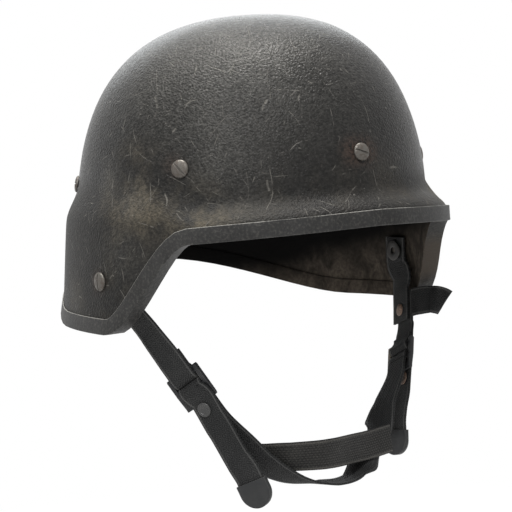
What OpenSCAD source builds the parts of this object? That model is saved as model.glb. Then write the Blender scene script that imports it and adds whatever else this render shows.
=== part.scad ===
// Ballistic helmet: a moulded aramid shell with a rubber edging, a webbing cradle and
// sweatband inside, and a chin strap harness with two ladder-lock buckles.
// Millimetres. +Z is up, the brim faces -Y and the wearer's right side is -X.
// The origin is on the dome's axis, level with the front of the rim.

/* [Shell] */
// Half width of the dome at its foot
dome_half_w = 114; // [100:0.5:125]
// Reach of the dome from its axis to the front
dome_front = 107.5; // [98:0.5:118]
// Reach of the dome from its axis to the back
dome_back = 135; // [120:0.5:145]
// Height of the crown above the origin
dome_h = 134; // [124:0.5:145]
// Exponent of the dome's upright curve, where 2 is an ellipse
dome_round = 2.54; // [2.3:0.02:2.8]
// Exponent of the dome's plan at the front
plan_front_round = 1.82; // [1.75:0.01:2.1]
// Exponent of the dome's plan at the back
plan_back_round = 2; // [1.9:0.01:2.2]
// Thickness of the moulded wall
wall_t = 9; // [7:0.5:11]
// Outward lean of the skirt below the origin, as a share of its radius in 60 mm
skirt_lean = 0.04; // [0:0.01:0.06]

/* [Brim, ears and nape] */
// Reach of the brim beyond the dome
brim_out = 13.2; // [8:0.2:17]
// Height of the brim's flare above the front of the rim
brim_h = 22.5; // [19:0.5:28]
// Height of the upright lip below the flare
lip_h = 10; // [8:0.5:12]
// Bulge of the ear sections beyond the dome
ear_out = 9; // [5:0.2:12]
// Height where the ears' bulge starts
ear_top = 31.5; // [26:0.5:36]
// Height that the ears' bulge takes to reach its full width
ear_blend = 29; // [22:0.5:34]
// Flare of the nape beyond the dome
nape_out = 11.4; // [7:0.2:14]
// Height where the nape's flare starts
nape_top = 12; // [6:0.5:18]
// Height that the nape's flare takes to reach its full width
nape_blend = 28; // [22:0.5:34]
// Depth of the rim below the origin at the ears
ear_drop = 62; // [56:0.5:68]
// Depth of the rim below the origin at the nape
nape_drop = 32.5; // [26:0.5:38]
// Depth of the rim below the origin at the brim's ends
brim_drop = 5.7; // [3:0.1:8]
// Angle from the front where the rim turns down to the ear
ear_from = 57; // [54:0.5:60]
// Angle from the front where the ear is fully down
ear_to = 87; // [84:0.5:90]
// Angle from the front where the rim starts to rise to the nape
nape_from = 115; // [108:0.5:122]

/* [Edging] */
// Thickness of the rubber edging
edging_t = 1.2; // [0.8:0.1:1.6]
// Width of the edging's legs on both faces of the rim
edging_leg = 8.3; // [7:0.1:10]

/* [Screws] */
// Mean height of the five cradle screws
ring_z = 34.5; // [32:0.5:38]
// Rise of the screw ring at the front, and its fall at the back
ring_tilt = 9.9; // [6:0.1:11]
// Angle from the front to the side screws
side_screw_at = 62.5; // [56:0.5:68]
// Degrees by which the left side screw stands further back than the right one
left_screw_back = 4.5; // [0:0.5:6]
// Angle from the front to the rear screws
rear_screw_at = 131; // [126:0.5:136]
// Radius of the cradle screws' heads
screw_head_r = 5.6; // [4.6:0.1:6.4]
// Radius of the screws' shanks
shank_r = 2.4; // [2:0.1:2.7]
// Outer radius of the sleeve nuts in the shell's holes
sleeve_r = 3.9; // [3.6:0.1:4]
// Radius of the sleeve nuts' flanges
flange_r = 7; // [6:0.1:8]
// Thickness of the sleeve nuts' flanges
flange_t = 1.4; // [1:0.1:2]
// Thickness of the washers
washer_t = 0.8; // [0.6:0.1:1.2]
// Depth of the chin strap screws below the origin
ear_screw_drop = 29.3; // [26:0.1:32]

/* [Cradle and sweatband] */
// Width of the cradle's ring of webbing
ring_w = 25; // [22:0.5:28]
// Width of the straps over the crown
crown_strap_w = 20; // [16:0.5:22]
// Height of the lace ring at the crown
lace_z = 101; // [92:0.5:106]
// Radius of the lace ring
lace_ring_r = 26; // [22:0.5:32]
// Radius of the lace
lace_r = 1.8; // [1.2:0.1:2.4]
// Inner half width of the sweatband
band_half_w = 76; // [70:0.5:80]
// Inner half length of the sweatband
band_half_l = 95; // [88:0.5:97]
// Thickness of the padded sweatband
band_t = 6; // [4:0.5:8]
// Height of the sweatband
band_h = 34; // [28:0.5:38]
// Distance of the sweatband's centre behind the dome's axis
band_back = 13; // [8:0.5:16]
// Middle height of the sweatband
band_mid = 6; // [4:0.5:8]
// Rise of the sweatband at the front, and its fall at the back
band_tilt = 8; // [4:0.5:10]

/* [Chin strap] */
// Width of the webbing
web_w = 19; // [16:0.5:21]
// Thickness of the webbing
web_t = 1.4; // [1:0.1:1.6]
// Radius of the buckles' round bars
bar_r = 1.6; // [1.3:0.1:1.9]
// Distance between the buckles' two bars
bar_gap = 8.8; // [8.4:0.1:10]
// Thickness of the buckles' side rails
rail_t = 3; // [2.4:0.1:3.4]
// Width of the buckles' side rails
rail_w = 2.6; // [2:0.1:3]
// Length of the buckles' thumb end beyond the lower bar
thumb_l = 10.5; // [9:0.5:12]
// Radius of the snap fasteners' caps
snap_r = 4.6; // [3.8:0.1:5.2]
// Length of the moulded tips on the free ends
tip_l = 17; // [14:0.5:20]
// Radius of the chin strap posts
post_r = 3.3; // [2.8:0.1:3.6]

/* [Hidden] */

// Gap between rigid pieces that run or seat together
run_gap = 0.1;
// Gap between a soft piece and its neighbour
soft_gap = 0.3;
round_fn = 48;

// Small mathematical helpers
function clamp01(t) = min(max(t, 0), 1);
function smooth(t) = let (u = clamp01(t)) u * u * (3 - 2 * u);
function swell(t) = let (u = clamp01(t)) u - 0.75 * sin(360 * u) / (2 * PI);
function unit(v) = v / norm(v);
function mix(a, b, t) = a * (1 - t) + b * t;
function from_front(phi) = abs(((phi + 180) % 360 + 360) % 360 - 180);

// The shell's surface: plan curve times upright curve, plus the flares of brim, ears and nape.
// phi is the angle from the front, and inset moves the dome inwards by that much.
function plan_r(phi, inset) =
    let (s = abs(sin(phi)) / (dome_half_w - inset),
         c = abs(cos(phi)) / ((cos(phi) > 0 ? dome_front : dome_back) - inset),
         m = mix(plan_back_round, plan_front_round, smooth(cos(phi) + 0.5)))
    pow(pow(s, m) + pow(c, m), -1 / m);
function upright(z, inset) = z > 0
    ? pow(1 - pow(min(z / (dome_h - inset), 1), dome_round), 1 / dome_round)
    : 1 + skirt_lean * min(-z / 60, 2);
function brim_share(phi) = 1 - smooth((from_front(phi) - 54.5) / 15.5);
function nape_share(phi) = smooth((from_front(phi) - 122) / 38);
function ear_share(phi) = 1 - brim_share(phi) - nape_share(phi);
function brim_edge(phi) = -brim_drop * pow(min(from_front(phi) / ear_from, 1), 1.33);
function flare_top(phi) = (brim_edge(phi) + brim_h) * brim_share(phi)
    + ear_top * ear_share(phi) + nape_top * nape_share(phi);
function flare_h(phi) = (brim_h - lip_h) * brim_share(phi) + ear_blend * ear_share(phi)
    + nape_blend * nape_share(phi);
function flare_out(phi) = brim_out * brim_share(phi) + ear_out * ear_share(phi)
    + nape_out * nape_share(phi);
function wall_r(phi, z, inset = 0) = plan_r(phi, inset) * upright(z, inset)
    + flare_out(phi) * swell((flare_top(phi) - z) / flare_h(phi));
function polar(phi, r, z) = [r * sin(phi), -r * cos(phi), z];
function wall_pt(phi, z, inset = 0) = polar(phi, wall_r(phi, z, inset), z);
function wall_n(phi, z) =
    let (e = 0.5) unit(cross(wall_pt(phi + e, z) - wall_pt(phi - e, z),
                             wall_pt(phi, z + e) - wall_pt(phi, z - e)));

// Height of the finished rim, edging included, and of the bare shell's rim above it
function rim_z(phi) =
    let (a = from_front(phi),
         back = mix(-ear_drop, -nape_drop, smooth((a - nape_from) / (180 - nape_from))),
         down = smooth((a - ear_from) / (ear_to - ear_from)))
    mix(brim_edge(phi), back, down);
edging_gap = 0.5;
edging_under = edging_t + edging_gap;
function shell_rim(phi) = rim_z(phi) + edging_under;

// Columns of the shell's mesh, closer where the rim drops to the ears
half_cols = concat([for (d = [0:5:50]) d], [for (d = [52.5:2.5:90]) d], [for (d = [95:5:180]) d]);
cols = concat(half_cols, [for (i = [len(half_cols) - 2:-1:1]) 360 - half_cols[i]]);
skirt_top = 36;
lip_rows = 2;
flare_rows = 6;
dome_rows = 7;
function row_z(phi, j, inset) =
    let (rim = shell_rim(phi), foot = max(flare_top(phi) - flare_h(phi), rim + 4),
         u0 = upright(skirt_top, inset))
    j <= lip_rows ? mix(rim, foot, j / lip_rows)
    : j <= lip_rows + flare_rows ? mix(foot, skirt_top, (j - lip_rows) / flare_rows)
    : (dome_h - inset) * pow(1 - pow(u0 * cos(90 * (j - lip_rows - flare_rows) / dome_rows),
                                     dome_round), 1 / dome_round);
last_row = lip_rows + flare_rows + dome_rows - 1;
function skin(inset) =
    [for (j = [0:last_row]) for (phi = cols) wall_pt(phi, row_z(phi, j, inset), inset)];
function skin_faces(base, flip) =
    let (n = len(cols), top = base + (last_row + 1) * n)
    concat([for (j = [0:last_row - 1]) for (i = [0:n - 1])
               let (a = base + j * n + i, b = base + j * n + (i + 1) % n, c = b + n, d = a + n)
               each (flip ? [[a, b, c], [a, c, d]] : [[a, c, b], [a, d, c]])],
           [for (i = [0:n - 1])
               let (a = base + last_row * n + i, b = base + last_row * n + (i + 1) % n)
               flip ? [a, b, top] : [a, top, b]]);
module shell_solid() {
    n = len(cols);
    inner = (last_row + 1) * n + 1;
    rim_faces = [for (i = [0:n - 1]) let (j = (i + 1) % n)
        each [[i, j, inner + j], [i, inner + j, inner + i]]];
    polyhedron(points = concat(skin(0), [[0, 0, dome_h]], skin(wall_t), [[0, 0, dome_h - wall_t]]),
               faces = concat(skin_faces(0, false), skin_faces(inner, true), rim_faces));
}

// Stations on the wall, with the local Z axis along the outward normal
module on_wall(phi, z) {
    n = wall_n(phi, z);
    translate(wall_pt(phi, z)) rotate([0, acos(n.z), atan2(n.y, n.x)]) children();
}
screw_angles = [0, side_screw_at + left_screw_back, -side_screw_at, rear_screw_at, -rear_screw_at];
function ring_mid(phi) = ring_z + ring_tilt * cos(phi);
module at_cradle_screws() {
    for (phi = screw_angles) on_wall(phi, ring_mid(phi)) children();
}
// Ear stations lie along X, so that both chin strap posts share one hinge axis
ear_wall_x = wall_r(90, -ear_screw_drop);
module at_ears() {
    for (side = [-1, 1]) translate([side * ear_wall_x, 0, -ear_screw_drop])
        rotate([0, 90 * side, 0]) children();
}

module shell() {
    color("#3b3a38") difference() {
        shell_solid();
        at_cradle_screws() cylinder(h = 4 * wall_t, r = sleeve_r + run_gap, center = true, $fn = round_fn);
        at_ears() cylinder(h = 4 * wall_t, r = post_r + run_gap, center = true, $fn = round_fn);
    }
}

// Edging: a U section carried round the rim, square to the rim's own direction.
// into is the distance from the rim into the shell, and out the distance from the outer face.
function rim_slope(phi) = (shell_rim(phi + 1) - shell_rim(phi - 1))
    / (wall_r(phi, shell_rim(phi)) * 2 * PI / 180);
function at_rim(phi, into, out) =
    let (s = rim_slope(phi), k = sqrt(1 + s * s), z = shell_rim(phi) + into / k,
         a = phi - s / k * into / wall_r(phi, shell_rim(phi)) * 180 / PI,
         r = out > -wall_t / 2 ? wall_r(a, z) + out : wall_r(a, z, wall_t) + out + wall_t)
    polar(a, r, z);
edging_section = let (g = edging_gap, o = g + edging_t, i = -wall_t - o, c = 0.5)
    [[edging_leg, g], [-g, g], [-g, -wall_t - g], [edging_leg, -wall_t - g], [edging_leg, i],
     [-edging_under + c, i], [-edging_under, i + c], [-edging_under, o - c], [-edging_under + c, o],
     [edging_leg, o]];
module edging() {
    n = len(cols);
    m = len(edging_section);
    color("#2f3032") polyhedron(
        points = [for (phi = cols) for (q = edging_section) at_rim(phi, q[0], q[1])],
        faces = [for (i = [0:n - 1]) for (k = [0:m - 1])
            let (a = i * m + k, b = i * m + (k + 1) % m, c = (i + 1) % n * m + (k + 1) % m,
                 d = (i + 1) % n * m + k)
            each [[a, b, c], [a, c, d]]]);
}

// Slotted screw with a low domed head that sits on the plane z = seat and reaches down
module slotted_screw(head_r, shank, reach, seat) {
    head_h = 0.4 * head_r;
    slot_w = 1.2;
    difference() {
        union() {
            translate([0, 0, seat]) rotate_extrude($fn = round_fn)
                polygon(concat([[0, 0], [head_r, 0], [head_r, 0.25 * head_h]],
                    [for (t = [15:15:90]) [head_r * cos(t), head_h * (0.25 + 0.75 * sin(t))]]));
            translate([0, 0, -reach]) cylinder(h = reach + seat + 0.1, r = shank, $fn = round_fn);
        }
        translate([-head_r, -slot_w / 2, seat + 0.45 * head_h]) cube([2 * head_r, slot_w, head_h]);
    }
}
// Sleeve nut whose flange lies inside the shell, at the depth seat below the outer face
module sleeve_nut(barrel, bore, seat) {
    difference() {
        union() {
            translate([0, 0, -seat]) cylinder(h = seat - 1, r = barrel, $fn = round_fn);
            translate([0, 0, -seat - flange_t]) cylinder(h = flange_t, r = flange_r, $fn = round_fn);
        }
        translate([0, 0, -seat - 2 * flange_t]) cylinder(h = seat + 2 * flange_t, r = bore, $fn = round_fn);
    }
}

screw_seat = 0.48;
ring_stand = 0.9;
cradle_washer_seat = wall_t + ring_stand + web_t + 1.1;
cradle_flange_seat = cradle_washer_seat + washer_t + run_gap;
// Turn of each screw's slot, as they were left when they were tightened
slot_turns = [70, 150, 45, 20, 100];
module cradle_screws() {
    color("#7d7b76") for (i = [0:len(screw_angles) - 1]) on_wall(screw_angles[i], ring_mid(screw_angles[i]))
        rotate([0, 0, slot_turns[i]])
            slotted_screw(screw_head_r, shank_r, cradle_flange_seat + flange_t, screw_seat);
}
module cradle_nuts() {
    color("#59554d") at_cradle_screws() sleeve_nut(sleeve_r, shank_r + run_gap, cradle_flange_seat);
}
module cradle_washers() {
    color("#6a665e") at_cradle_screws() difference() {
        translate([0, 0, -cradle_washer_seat - washer_t])
            cylinder(h = washer_t, r = flange_r + 2, $fn = round_fn);
        translate([0, 0, -cradle_washer_seat - 2 * washer_t])
            cylinder(h = 3 * washer_t, r = sleeve_r + run_gap, $fn = round_fn);
    }
}

// Cradle ring: webbing that lies along the inner wall through the five screws
ring_cols = [for (i = [0:59]) i * 6];
function ring_face(phi, up, depth) =
    let (z = ring_mid(phi) + up) polar(phi, wall_r(phi, z, wall_t) - ring_stand - depth, z);
module closed_band(sections) {
    n = len(sections);
    m = len(sections[0]);
    polyhedron(points = [for (s = sections) each s],
        faces = [for (i = [0:n - 1]) for (k = [0:m - 1])
            let (a = i * m + k, b = i * m + (k + 1) % m, c = (i + 1) % n * m + (k + 1) % m,
                 d = (i + 1) % n * m + k)
            each [[a, b, c], [a, c, d]]]);
}
module cradle_ring() {
    rows = [-1:0.5:1];
    h = ring_w / 2;
    color("#4a4a3f") difference() {
        closed_band([for (phi = ring_cols)
            concat([for (k = rows) ring_face(phi, h * k, 0)],
                   [for (k = rows) ring_face(phi, -h * k, web_t)])]);
        at_cradle_screws() translate([0, 0, -wall_t])
            cylinder(h = 2 * wall_t, r = sleeve_r + soft_gap, center = true, $fn = round_fn);
    }
}

// Sweatband: a padded ring on an ellipse whose centre lies behind the dome's axis
function band_top(phi) = band_mid + band_tilt * cos(phi) + band_h / 2;
function band_r(phi, grow) =
    let (a = band_half_w + grow, b = band_half_l + grow, s = sin(phi), c = cos(phi),
         p = s * s / (a * a) + c * c / (b * b), q = c * band_back / (b * b),
         w = band_back * band_back / (b * b) - 1)
    (-q + sqrt(q * q - p * w)) / p;
strap_angles = [30, 90, 150, 210, 270, 330];
stud_drop = 10;
stud_shank = 2;
function stud_z(phi) = band_top(phi) - stud_drop;
function flat(v) = unit([v.x, v.y, 0]);
function band_along(phi) =
    flat(polar(phi + 1, band_r(phi + 1, band_t), 0) - polar(phi - 1, band_r(phi - 1, band_t), 0));
module at_studs() {
    for (phi = strap_angles) {
        along = band_along(phi);
        translate(polar(phi, band_r(phi, band_t), stud_z(phi)))
            rotate([0, 90, atan2(-along.x, along.y)]) children();
    }
}
module sweatband() {
    edge = band_t / 3;
    h = band_h / 2;
    section = [[0, -h + edge], [edge, -h], [band_t - edge, -h], [band_t, -h + edge],
               [band_t, h - edge], [band_t - edge, h], [edge, h], [0, h - edge]];
    color("#4b3a2c") difference() {
        closed_band([for (phi = ring_cols) [for (q = section)
            polar(phi, band_r(phi, q[0]), band_mid + band_tilt * cos(phi) + q[1])]]);
        at_studs() cylinder(h = band_t, r = stud_shank + run_gap, center = true, $fn = round_fn);
    }
}

// Crown straps: each path lies in the upright plane through the axis, as [radius, height], from
// the sweatband over the cradle ring and up the dome to a loop round the lace
strap_gap = 0.5;
wrap_r = soft_gap + web_t / 2;
lace_wrap = lace_r + wrap_r;
function crown_path(phi) =
    let (hold_r = band_r(phi, band_t) + strap_gap + web_t / 2,
         in_ring = function (z) wall_r(phi, z, wall_t) - ring_stand - web_t - 1.3 - web_t / 2,
         mid = ring_mid(phi), low = mid - 6, high = mid + 10, r0 = in_ring(high),
         top = lace_z + lace_wrap, end = acos(lace_ring_r / r0),
         over = function (a) [r0 * cos(a), high + (top - high) * sin(a) / sin(end)],
         lead = function (a) acos((lace_ring_r + a) / r0))
    concat([[hold_r, stud_z(phi) - 7], [hold_r, stud_z(phi) + 6]],
           [[mix(hold_r, in_ring(low), 0.5), mix(stud_z(phi) + 6, low, 0.5)]],
           [[in_ring(low), low], [in_ring(mid + 2), mid + 2]],
           [for (k = [0:9]) over(end * k / 10)],
           [for (a = [90:30:270]) [lace_ring_r, lace_z] + lace_wrap * [cos(a), sin(a)]],
           [for (a = [5, 10]) over(lead(a)) - [0, 2 * lace_wrap]]);
// The strap's width follows the sweatband at its foot, then the wall, and is square to the
// plane at the lace
function wall_along(phi, z) = flat(wall_pt(phi + 1, z, wall_t) - wall_pt(phi - 1, z, wall_t));
function strap_frames(phi) =
    let (p = crown_path(phi), n = len(p), square = [cos(phi), sin(phi), 0])
    [for (i = [0:n - 1])
        let (d = unit(p[min(i + 1, n - 1)] - p[max(i - 1, 0)]),
             w = i < 2 ? band_along(phi) : i < 6 ? wall_along(phi, ring_mid(phi))
               : mix(wall_along(phi, ring_mid(phi)), square, smooth((i - 6) / 7)))
        [polar(phi, p[i][0], p[i][1]), polar(phi, d.x, d.y), unit(w)]];
module crown_straps() {
    color("#4a4a3f") difference() {
        for (phi = strap_angles) ribbon(strap_frames(phi), crown_strap_w, web_t);
        at_studs() cylinder(h = 4 * band_t, r = stud_shank + run_gap, center = true, $fn = round_fn);
    }
}
module sweatband_studs() {
    cap_h = 1.2;
    seat = strap_gap + web_t + soft_gap;
    color("#8a7a55") at_studs() {
        translate([0, 0, -band_t / 2 + 0.2])
            cylinder(h = band_t / 2 + seat, r = stud_shank, $fn = round_fn);
        translate([0, 0, seat]) rotate_extrude($fn = round_fn)
            polygon([[0, 0], [snap_r, 0], [snap_r, cap_h / 2], [snap_r * 0.7, cap_h], [0, cap_h]]);
    }
}
// The lace runs straight through each strap's loop and turns in the gaps between them, where
// its section is mitred
module crown_lace() {
    run = crown_strap_w / 2 + 1;
    ends = [for (phi = strap_angles) each [for (k = [-1, 1])
        polar(phi, lace_ring_r, lace_z) + k * run * [cos(phi), sin(phi), 0]]];
    n = len(ends);
    sides = 12;
    points = [for (i = [0:n - 1])
        let (turn = unit(ends[i] - ends[(i + n - 1) % n]) + unit(ends[(i + 1) % n] - ends[i]),
             out = cross(turn, [0, 0, 1]) / pow(norm(turn), 2) * 2)
        for (k = [0:sides - 1])
            let (a = 360 * k / sides) ends[i] + lace_r * (cos(a) * out + [0, 0, sin(a)])];
    color("#5a5748") polyhedron(points = points,
        faces = [for (i = [0:n - 1]) for (k = [0:sides - 1])
            let (j = (i + 1) % n, m = (k + 1) % sides,
                 a = sides * i + k, b = sides * i + m, c = sides * j + m, d = sides * j + k)
            each [[a, b, c], [a, c, d]]]);
}

// Chin strap posts: from the wall inwards come a washer, the strap end and the post's flange
ear_seat_gap = 1.5;
ear_strap_depth = wall_t + ear_seat_gap + washer_t + 2 * soft_gap + web_t / 2;
ear_flange_seat = ear_strap_depth + web_t / 2 + 2 * soft_gap;
module ear_screws() {
    color("#8d8b86") at_ears() slotted_screw(screw_head_r + 0.3, shank_r - 0.3, ear_flange_seat, 0.45);
}
module ear_posts() {
    color("#59554d") at_ears() sleeve_nut(post_r, shank_r - 0.3 + run_gap, ear_flange_seat);
}
module ear_washers() {
    color("#6a665e") at_ears() difference() {
        translate([0, 0, -wall_t - ear_seat_gap + 0.2 - washer_t])
            cylinder(h = washer_t, r = post_r + 2.2, $fn = round_fn);
        translate([0, 0, -2 * wall_t]) cylinder(h = 2 * wall_t, r = post_r + run_gap, $fn = round_fn);
    }
}

// Webbing: frames are [point, direction, width direction], joined by smooth curves.
// The face normal is the cross product of direction and width direction.
post_x = ear_wall_x - ear_strap_depth;
function hang(share, fore, down) = [share * post_x, -fore, -ear_screw_drop - down];
function curve_pt(a, b, s) =
    let (d = norm(b[0] - a[0]), s2 = s * s, s3 = s2 * s)
    (2 * s3 - 3 * s2 + 1) * a[0] + (s3 - 2 * s2 + s) * d * a[1]
    + (3 * s2 - 2 * s3) * b[0] + (s3 - s2) * d * b[1];
function curve_dir(a, b, s) =
    let (d = norm(b[0] - a[0]), s2 = s * s)
    unit((6 * s2 - 6 * s) * a[0] + (3 * s2 - 4 * s + 1) * d * a[1]
    + (6 * s - 6 * s2) * b[0] + (3 * s2 - 2 * s) * d * b[1]);
function route_dir(r, i) = len(r[i]) > 2 ? r[i][2]
    : unit(r[min(i + 1, len(r) - 1)][0] - r[max(i - 1, 0)][0]);
function route(r, steps) =
    let (f = [for (i = [0:len(r) - 1]) [r[i][0], route_dir(r, i), unit(r[i][1])]])
    concat([for (i = [0:len(f) - 2]) for (k = [0:steps - 1])
               let (s = k / steps)
               [curve_pt(f[i], f[i + 1], s), curve_dir(f[i], f[i + 1], s),
                unit(mix(f[i][2], f[i + 1][2], s))]],
           [f[len(f) - 1]]);
function face_n(f) = unit(cross(f[1], f[2]));
function ribbon_section(f, w, t) =
    let (n = face_n(f) * t / 2, s = unit(cross(face_n(f), f[1])) * w / 2)
    [f[0] + s + n, f[0] - s + n, f[0] - s - n, f[0] + s - n];
module ribbon(frames, w, t) {
    n = len(frames);
    polyhedron(points = [for (f = frames) each ribbon_section(f, w, t)],
        faces = concat([for (i = [0:n - 2]) for (k = [0:3])
                let (a = 4 * i + k, b = 4 * i + (k + 1) % 4, c = b + 4, d = a + 4)
                each [[a, c, b], [a, d, c]]],
            [[0, 1, 2], [0, 2, 3], [4 * n - 1, 4 * n - 2, 4 * n - 3], [4 * n - 1, 4 * n - 3, 4 * n - 4]]));
}

// A place is [centre, down, out, across]: the buckles' and snaps' own axes
function place(c, down, across) =
    let (d = unit(down), o = unit(cross(d, across))) [c, d, o, cross(o, d)];
function mirror_out(p) = [p[0], p[1], -p[2], p[3]];
function spot(p, d, o, a = 0) = p[0] + d * p[1] + o * p[2] + a * p[3];
// Frames round a bar, from angle a0 to a1, where 0 is down and 90 is out
function wrap(p, at, r, a0, a1) =
    let (n = 6, turn = a1 > a0 ? 1 : -1)
    [for (k = [0:n]) let (a = mix(a0, a1, k / n))
        [spot(p, at + r * cos(a), r * sin(a)), turn * (cos(a) * p[2] - sin(a) * p[1]), p[3]]];
// Turns local X to across, Y to out and Z to up
module in_place(p) {
    x = p[3];
    z = -p[1];
    y = cross(z, x);
    translate(p[0]) rotate([atan2(y.z, z.z), -asin(x.z), atan2(x.y, x.x)]) {
        if (y * p[2] < 0) mirror([0, 1, 0]) children();
        else children();
    }
}

right_place = place(hang(-0.742, 30.4, 65.6), [0.386, -0.4, -0.83], [0.31, -0.8, 0.52]);
left_place = mirror_out(place(hang(0.814, 26.6, 67.4), [-0.42, -0.4, -0.81], [-0.05, -0.95, 0.28]));
top_bar = -bar_gap / 2;
low_bar = bar_gap / 2;
bar_wrap = bar_r + wrap_r;
leg_end = low_bar + 1.5;
web_step = web_t + soft_gap;

// Ladder-lock frame: two rails, two round bars and a grooved thumb end
module ladder_lock() {
    across = web_w + 1.4 + 2 * rail_w;
    rail_top = top_bar - bar_r - 2.4;
    rail_low = low_bar + thumb_l;
    module rail() {
        rotate([90, 0, 90]) linear_extrude(height = rail_w) polygon([
            [-rail_t / 2, -rail_top - 0.8], [-rail_t / 2 + 0.8, -rail_top], [rail_t / 2 - 0.8, -rail_top],
            [rail_t / 2, -rail_top - 0.8], [rail_t / 2, -low_bar], [rail_t / 2 - 0.9, -rail_low],
            [-rail_t / 2 + 0.7, -rail_low], [-rail_t / 2, -rail_low + 1.5]]);
    }
    translate([-across / 2, 0, 0]) rail();
    translate([across / 2 - rail_w, 0, 0]) rail();
    for (at = [top_bar, low_bar]) translate([-across / 2 + 0.5, 0, -at]) rotate([0, 90, 0])
        cylinder(h = across - 1, r = bar_r, $fn = round_fn);
    translate([-across / 2, -0.8, -rail_low]) cube([across, 1.6, 4]);
    for (k = [0:2]) translate([-across / 2 + 0.5, 0, -rail_low + 0.7 + 1.3 * k]) rotate([0, 90, 0])
        cylinder(h = across - 1, r = 0.85, $fn = 16);
}
module right_buckle() {
    color("#1f2022") in_place(right_place) ladder_lock();
}
module left_buckle() {
    color("#1f2022") in_place(left_place) ladder_lock();
}

// Right ear strap: from the post down to the buckle's top bar, round it and back up inside
right_ear_route = [[hang(-1, -3.9, -8.1), [0, -0.9, 0.43]],
    [hang(-1, 3.9, 8.1), [0, -0.9, 0.43], [0, -0.43, -0.9]],
    [hang(-0.885, 13, 34), [0.16, -0.86, 0.48]],
    [spot(right_place, top_bar - 12, bar_wrap), right_place[3], right_place[1]],
    [spot(right_place, top_bar, bar_wrap), right_place[3], right_place[1]]];
function sewn_leg(p, length) = [
    [spot(p, top_bar - 6, bar_wrap - web_step), -p[1], p[3]],
    [spot(p, top_bar - length, bar_wrap - web_step), -p[1], p[3]]];
module post_hole(side) {
    translate([side * post_x, 0, -ear_screw_drop]) rotate([0, 90, 0])
        cylinder(h = 5, r = post_r + 1.4, center = true, $fn = round_fn);
}
module right_ear_strap() {
    f = route(right_ear_route, 4);
    color("#2c2d2c") difference() {
        ribbon(concat([for (i = [0:len(f) - 2]) f[i]], wrap(right_place, top_bar, bar_wrap, 90, -90),
            sewn_leg(right_place, 17)), web_w, web_t);
        post_hole(-1);
    }
}
// Brass eyelets that line the strap ends' holes and turn on the posts
module strap_grommets() {
    color("#8a7a55") for (side = [-1, 1])
        translate([side * post_x, 0, -ear_screw_drop]) rotate([0, 90, 0]) difference() {
            h = web_t + 2 * soft_gap + 0.1;
            union() {
                cylinder(h = h, r = post_r + 1.2, center = true, $fn = round_fn);
                for (k = [-1, 1]) translate([0, 0, k * (h / 2 - 0.125)])
                    cylinder(h = 0.25, r = post_r + 2.6, center = true, $fn = round_fn);
            }
            cylinder(h = 2 * h, r = post_r + run_gap, center = true, $fn = round_fn);
        }
}

// Free tails: down the front of the buckle, with a moulded tip on the end
tail_across = [0.33, -0.83, 0.44];
right_snap = place(hang(-0.695, 41.9, 80.6), [0.33, -0.33, -0.89], tail_across);
right_tip = place(hang(-0.586, 71.3, 129.1), [0.26, -0.29, -0.92], [0.44, -0.83, 0.34]);
left_snap = mirror_out(place(hang(0.775, 33, 83.5), [-0.3, -0.2, -0.93], [-0.1, -0.95, 0.28]));
left_tip = mirror_out(place(hang(0.665, 38, 121.1), [-0.1, -0.1, -0.99], [0.13, -0.99, 0.11]));
pocket = 5;
snap_flat = snap_r + 1;
snap_shift = 2;
right_tail_route = [[spot(right_place, low_bar, bar_wrap), right_place[3], right_place[1]],
    [spot(right_snap, -snap_flat, 0), right_snap[3], right_snap[1]],
    [spot(right_snap, snap_flat, 0), right_snap[3], right_snap[1]],
    [hang(-0.661, 50.5, 94.7), tail_across], [hang(-0.624, 60.1, 111), tail_across],
    [spot(right_tip, -pocket - 2, 0), right_tip[3], right_tip[1]],
    [spot(right_tip, 0, 0), right_tip[3], right_tip[1]]];
left_tail_route = [[spot(left_place, low_bar, bar_wrap), left_place[3], left_place[1]],
    [spot(left_snap, -snap_flat, 0), left_snap[3], left_snap[1]],
    [spot(left_snap, snap_flat, 0), left_snap[3], left_snap[1]],
    [hang(0.7, 36, 104), [0, -0.99, 0.1]],
    [spot(left_tip, -pocket - 2, 0), left_tip[3], left_tip[1]],
    [spot(left_tip, 0, 0), left_tip[3], left_tip[1]]];
function reversed(f) = [for (i = [len(f) - 1:-1:0]) [f[i][0], -f[i][1], f[i][2]]];
function tail_frames(r, p) =
    let (f = reversed(route(r, 4)))
    concat([for (i = [0:len(f) - 2]) f[i]], wrap(p, low_bar, bar_wrap, 90, 270),
           [[spot(p, leg_end, -bar_wrap), p[1], p[3]]]);
// Moulded tip: a rounded cap over the last of the webbing, with a pocket that holds it
module tail_tip() {
    w = web_w / 2 + 0.8;
    h = web_t + 2 * soft_gap + 1.6;
    difference() {
        rotate([90, 0, 0]) linear_extrude(height = h, center = true) union() {
            translate([-w, w + pocket - tip_l]) square([2 * w, tip_l - w]);
            intersection() {
                translate([0, w + pocket - tip_l]) circle(r = w, $fn = round_fn);
                translate([-w, pocket - tip_l]) square([2 * w, tip_l - 1]);
            }
        }
        translate([-web_w / 2 - soft_gap, -web_t / 2 - soft_gap, -soft_gap])
            cube([web_w + 2 * soft_gap, web_t + 2 * soft_gap, 2 * pocket]);
    }
}
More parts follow.
